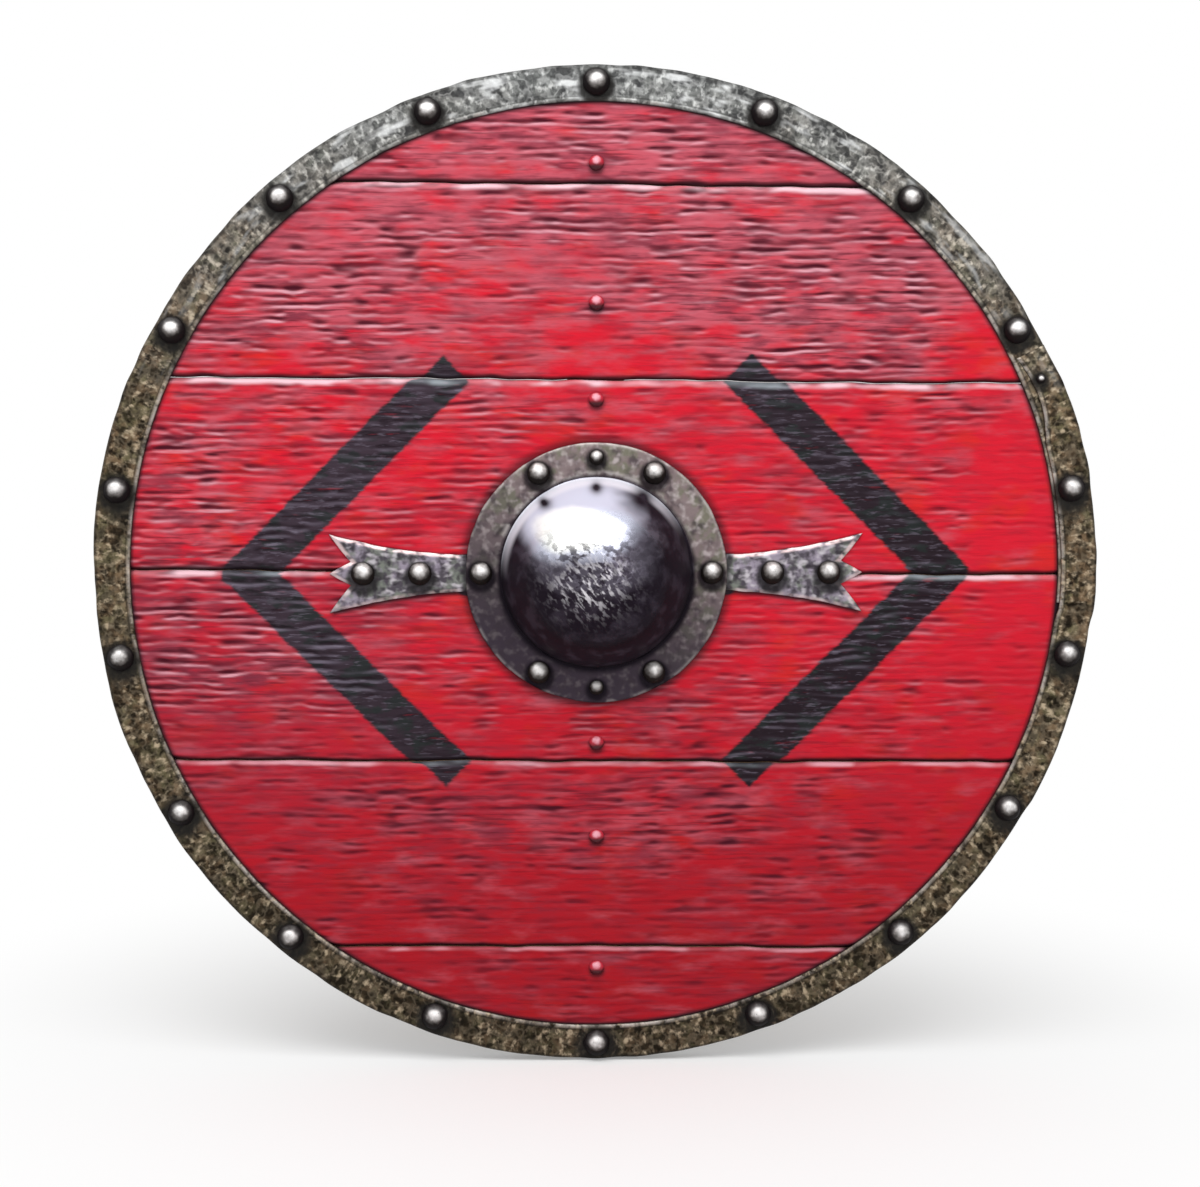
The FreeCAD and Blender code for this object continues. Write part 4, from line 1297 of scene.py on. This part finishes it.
GRIP_HALF = 48.0
GRIP_WIDTH = 28.0
GRIP_THICKNESS = 18.0
GRIP_CORNER = 8.0
SHOULDER = 16.0
SHOULDER_WIDTH = 38.0
SHOULDER_CORNER = 2.4
FLAT_LENGTH = 32.0
END_WIDTH = 25.0
END_THICKNESS = 11.0
TIP_LENGTH = 4.0
FINE_HALF = 69.0
BAR_COLUMNS = 72
SLEEVE_SHEET = 1.6
SLEEVE_SKIN = 0.45
SLEEVE_CORNER = 9.4
SLEEVE_ROWS = 110
SLEEVE_COLUMNS = 120
SLEEVE_POINTS = 96
STITCH_COUNT = 15
STITCH_HALF = 3.0
STITCH_SLANT = 1.3
THREAD_RADIUS = 0.42


def rounded_section(half, front, back, corner, count):
    """A rounded rectangle as (x, y) points, evenly spaced by angle within each corner."""
    points = []
    per_corner = count // 4
    quarters = ((1, back, -1), (-1, back, -1), (-1, front, 1), (1, front, 1))
    for index, (side, level, inward) in enumerate(quarters):
        centre = (side * (half - corner), level + inward * corner)
        for step in range(per_corner):
            angle = math.pi / 2 * (index + step / (per_corner - 1))
            points.append((centre[0] + corner * math.cos(angle), centre[1] + corner * math.sin(angle)))
    return points


def bar_section(height):
    """Half width, front, back and corner radius of the bar at a height."""
    away, end = abs(height), bar_high.z
    shoulder = float(ramp(GRIP_HALF - 1, GRIP_HALF + SHOULDER, away))
    shoulder_end = GRIP_HALF + SHOULDER
    flat_end = shoulder_end + FLAT_LENGTH
    fall = max(0.0, (away - flat_end) / (end - flat_end))
    narrow = max(0.0, (away - shoulder_end) / (end - shoulder_end))
    tip = max(0.0, 1 - (end - away) / TIP_LENGTH)
    width = GRIP_WIDTH + shoulder * (SHOULDER_WIDTH - GRIP_WIDTH) - narrow * (SHOULDER_WIDTH - END_WIDTH)
    front = -GRIP_THICKNESS / 2 + shoulder * (bar_low.y + GRIP_THICKNESS / 2)
    back = GRIP_THICKNESS / 2 + shoulder * (bar_high.y - GRIP_THICKNESS / 2)
    back = back - fall * (bar_high.y - bar_low.y - END_THICKNESS)
    corner = GRIP_CORNER + shoulder * (SHOULDER_CORNER - GRIP_CORNER)
    return width / 2 - tip * 3, front + SEAT, back - tip * 2.5, corner


def make_bar():
    """A carved bar: flat on the boards, whittled to a grip where it crosses the hand hole."""
    heights = np.concatenate([
        np.linspace(bar_low.z, -FINE_HALF - 1, 130), np.linspace(-FINE_HALF, FINE_HALF, 100),
        np.linspace(FINE_HALF + 1, bar_high.z, 130),
    ])
    grid = np.array([rounded_section(*bar_section(height), BAR_COLUMNS) for height in heights])
    x, y, z = grid[..., 0], grid[..., 1], np.broadcast_to(heights[:, None], grid.shape[:2])
    cuts = uneven(121, (11, 11, 42), x, y, z, octaves=2)
    fibre = 0.5 + 0.5 * lattice(125, (1.8, 1.8, 30), x, y, z)
    depth = 0.35 * cuts + 0.14 * fibre
    centre_y = (y.max(1, keepdims=True) + y.min(1, keepdims=True)) / 2
    out = np.stack([x, (y - centre_y) * 1.6], -1)
    out = out / np.maximum(np.linalg.norm(out, axis=-1, keepdims=True), 1)
    x, y = x - out[..., 0] * depth, y - out[..., 1] * depth
    grime_and_shade = 0.45 * ramp(66, 50, np.abs(z))
    for box in board_nail_boxes:
        at_x, at_z = middle(box)
        ring = np.hypot(np.maximum(np.abs(x - at_x) - 5, 0), z - at_z)
        grime_and_shade = np.maximum(grime_and_shade, 0.8 * ramp(4.5, 1.8, ring))
    return make_piece(
        "carved_bar", ["grip_bar"], [BAR_WOOD], stacked(x, y, z),
        tube(len(heights), BAR_COLUMNS), {"grime_and_shade": grime_and_shade},
    )


def sleeve_ring(turns, lift):
    """(x, y) points round the sleeve, where a turn runs from 0 to 1 from the middle of its back."""
    back = sleeve_high.y - lift
    section = np.array(rounded_section(sleeve_high.x - lift, -back, back, SLEEVE_CORNER, SLEEVE_POINTS))
    place = (turns + 0.125) % 1 * SLEEVE_POINTS
    low = place.astype(int)
    part = (place - low)[:, None]
    start, end = section[low % SLEEVE_POINTS], section[(low + 1) % SLEEVE_POINTS]
    return start + (end - start) * part


def make_sleeve():
    """Leather wrapped round the grip, with butted edges sewn together along the back."""
    rows, columns = SLEEVE_ROWS, SLEEVE_COLUMNS
    z = np.linspace(sleeve_low.z, sleeve_high.z, rows)[:, None]
    turns = np.linspace(0.0, 1.0, columns, endpoint=False)
    x, y = sleeve_ring(turns, SLEEVE_SKIN).T
    inner_x, inner_y = sleeve_ring(turns, SLEEVE_SHEET).T
    x, y, z = np.broadcast_arrays(x, y, z)
    seam = np.minimum(turns, 1 - turns)
    groove = 0.7 * ramp(0.008, 0.0, seam)
    ridge = 0.35 * np.exp(-(((seam - 0.022) / 0.014) ** 2))
    ends = 0.7 * (ramp(1.6, 0, z - sleeve_low.z) + ramp(1.6, 0, sleeve_high.z - z))
    move = ridge - groove - ends - 0.22 * uneven(131, (9, 9, 5), x, y, z)
    swell = 1 + move / np.maximum(np.hypot(x, y), 1)
    outer_y = np.clip(y * swell, -sleeve_high.y, sleeve_high.y)
    points = np.concatenate([stacked(x * swell, outer_y, z), stacked(inner_x, inner_y, z)])
    first = rows * columns
    faces = quads(rows, columns, wrap=True) + quads(rows, columns, first, wrap=True)
    for row in (0, rows - 1):
        for column in range(columns):
            a, b = row * columns + column, row * columns + (column + 1) % columns
            faces.append([a, b, b + first, a + first])
    grime_and_shade = np.broadcast_to(0.8 * ramp(0.010, 0.0, seam), x.shape)
    fields = {"grime_and_shade": np.concatenate([grime_and_shade.ravel(), np.full(first, 0.5)])}
    return make_piece("leather_sleeve", ["grip_sleeve"], [LEATHER], points, faces, fields)


def make_stitches():
    """A row of slanted stitches that draws the sleeve's edges together."""
    steps, columns = 13, 8
    share = np.linspace(0, 1, steps)[:, None]
    angles = np.linspace(0, 2 * math.pi, columns, endpoint=False)
    arch = np.sin(math.pi * share)
    thick = THREAD_RADIUS * (0.55 + 0.45 * np.minimum(4 * arch, 1))
    y = sleeve_high.y - 1.15 + 0.62 * np.maximum(arch, 0) ** 0.6 + thick * np.sin(angles)
    parts = []
    for height in np.linspace(sleeve_low.z + 5, sleeve_high.z - 5, STITCH_COUNT):
        z = height + STITCH_SLANT * (2 * share - 1) + thick * np.cos(angles)
        parts.append((stacked(STITCH_HALF * (2 * share - 1), y, z), tube(steps, columns)))
    points, faces = gather(parts)
    return make_piece("sleeve_stitches", [], [THREAD], points, faces)


# Camera, light and floor, with distances in metres

BOARD_MIDDLE = Vector((0, BOARD_FRONT, 0)) * MM
CAMERA_AIM = Vector((0, BOARD_FRONT - RIM_SHEET, 0)) * MM
CAMERA_DISTANCE = 1.47
CAMERA_AZIMUTH = -1.6
CAMERA_ELEVATION = 6.0
CAMERA_LENS = 72.55
AIM_SHIFT = Vector((0.0021, 0, -0.0125))
FLOOR_SIZE = 12
WORLD_FILL = 0.40
# Where the floor turns white, in millimetres from the shield's middle
FLOOR_NEAR = 160
FLOOR_FAR = 620


def bearing(azimuth, elevation):
    """The direction from the object to a place round it. Azimuth 0 is in front of the painted face."""
    a, e = math.radians(azimuth), math.radians(elevation)
    return Vector((math.sin(a) * math.cos(e), -math.cos(a) * math.cos(e), math.sin(e)))


def put(name, data, place, target):
    """Adds a camera or lamp that looks at a target."""
    thing = bpy.data.objects.new(name, data)
    bpy.context.scene.collection.objects.link(thing)
    thing.location = place
    thing.rotation_euler = (target - thing.location).to_track_quat("-Z", "Y").to_euler()
    return thing


def make_camera():
    data = bpy.data.cameras.new("camera")
    data.lens = CAMERA_LENS
    data.clip_end = 50
    place = CAMERA_AIM + CAMERA_DISTANCE * bearing(CAMERA_AZIMUTH, CAMERA_ELEVATION)
    bpy.context.scene.camera = put("camera", data, place, CAMERA_AIM + AIM_SHIFT)


def make_softbox(name, azimuth, elevation, distance, size, power):
    data = bpy.data.lights.new(name, "AREA")
    data.shape = "RECTANGLE"
    data.size, data.size_y = size
    data.energy = power
    put(name, data, distance * bearing(azimuth, elevation), BOARD_MIDDLE)


def make_world():
    """White where it is seen or mirrored, and a dimmer fill for everything else."""
    world = bpy.data.worlds.new("studio")
    bpy.context.scene.world = world
    world.use_nodes = True
    n = Nodes(world.node_tree)
    strength = WORLD_FILL + (1 - WORLD_FILL) * n.shown()
    background = n.node("Background", {}, {"Color": (1, 1, 1, 1), "Strength": strength})
    n.node("OutputWorld", {}, {"Surface": background})


def make_floor():
    """A white floor that keeps the shield's shadow and has no visible horizon."""
    bm = bmesh.new()
    bmesh.ops.create_grid(bm, x_segments=8, y_segments=8, size=FLOOR_SIZE)
    bmesh.ops.translate(bm, verts=bm.verts, vec=(0, 0, cad_low.z))
    mesh = bpy.data.meshes.new("floor")
    bm.to_mesh(mesh)
    bm.free()
    floor = bpy.data.objects.new("floor", mesh)
    bpy.context.scene.collection.objects.link(floor)
    f = Finish("floor_paint")
    away = f.node("VectorMath", {"operation": "LENGTH"}, {0: f.place}, out="Value")
    colour = f.blend(f.grain(600), (0.93, 0.93, 0.93), (0.96, 0.96, 0.96))
    paint = f.node(
        "BsdfPrincipled", {}, {"Base Color": colour, "Roughness": 0.9, "Specular IOR Level": 0.1},
    )
    glow = f.node("Emission", {}, {"Color": (1, 1, 1, 1), "Strength": 1.0})
    far = f.step(FLOOR_NEAR, FLOOR_FAR, away) * f.shown()
    f.node("OutputMaterial", {}, {"Surface": f.node("MixShader", {}, {0: far, 1: paint, 2: glow})})
    mesh.materials.append(f.material)


make_camera()
make_softbox("key_light", -13, 57, 1.35, (1.9, 0.9), 19)
make_softbox("front_fill", 25, 12, 2.6, (1.2, 1.2), 7)
make_world()
make_floor()

for board_number in range(1, 7):
    make_board(board_number)
make_rim()
make_boss()
make_arm("arm_left", -1)
make_arm("arm_right", 1)
make_rivets("rim_rivet_set", "rim_rivets", rim_rivet_boxes, 6.4, 2.4, 210, unshaded_share=0.50)
make_rivets("boss_rivet_set", "boss_rivets", boss_rivet_boxes, 5.6, 2.4, 240)
make_rivets("arm_rivet_set", "arm_rivets", arm_rivet_boxes, 5.8, 2.4, 250, unshaded_share=0.86)
make_rivets("joint_nail_set", "rim_joint_nail", joint_nail_boxes, 2.2, 2.2, 260, NAIL_SHANK, 0.45)
make_nails("boss_nail_set", "boss_nails", RIVET_IRON, boss_nail_boxes, 270)
make_nails("board_nail_set", "board_nails", PAINTED_NAILS, board_nail_boxes, 280, bent=True)
make_roves("boss_rove_set", "boss_roves", islands("boss_roves"), 300)
make_roves("arm_rove_set", "arm_roves", islands("arm_roves"), 320)
make_bar()
make_sleeve()
make_stitches()

scene = bpy.context.scene
scene.view_settings.view_transform = "Standard"
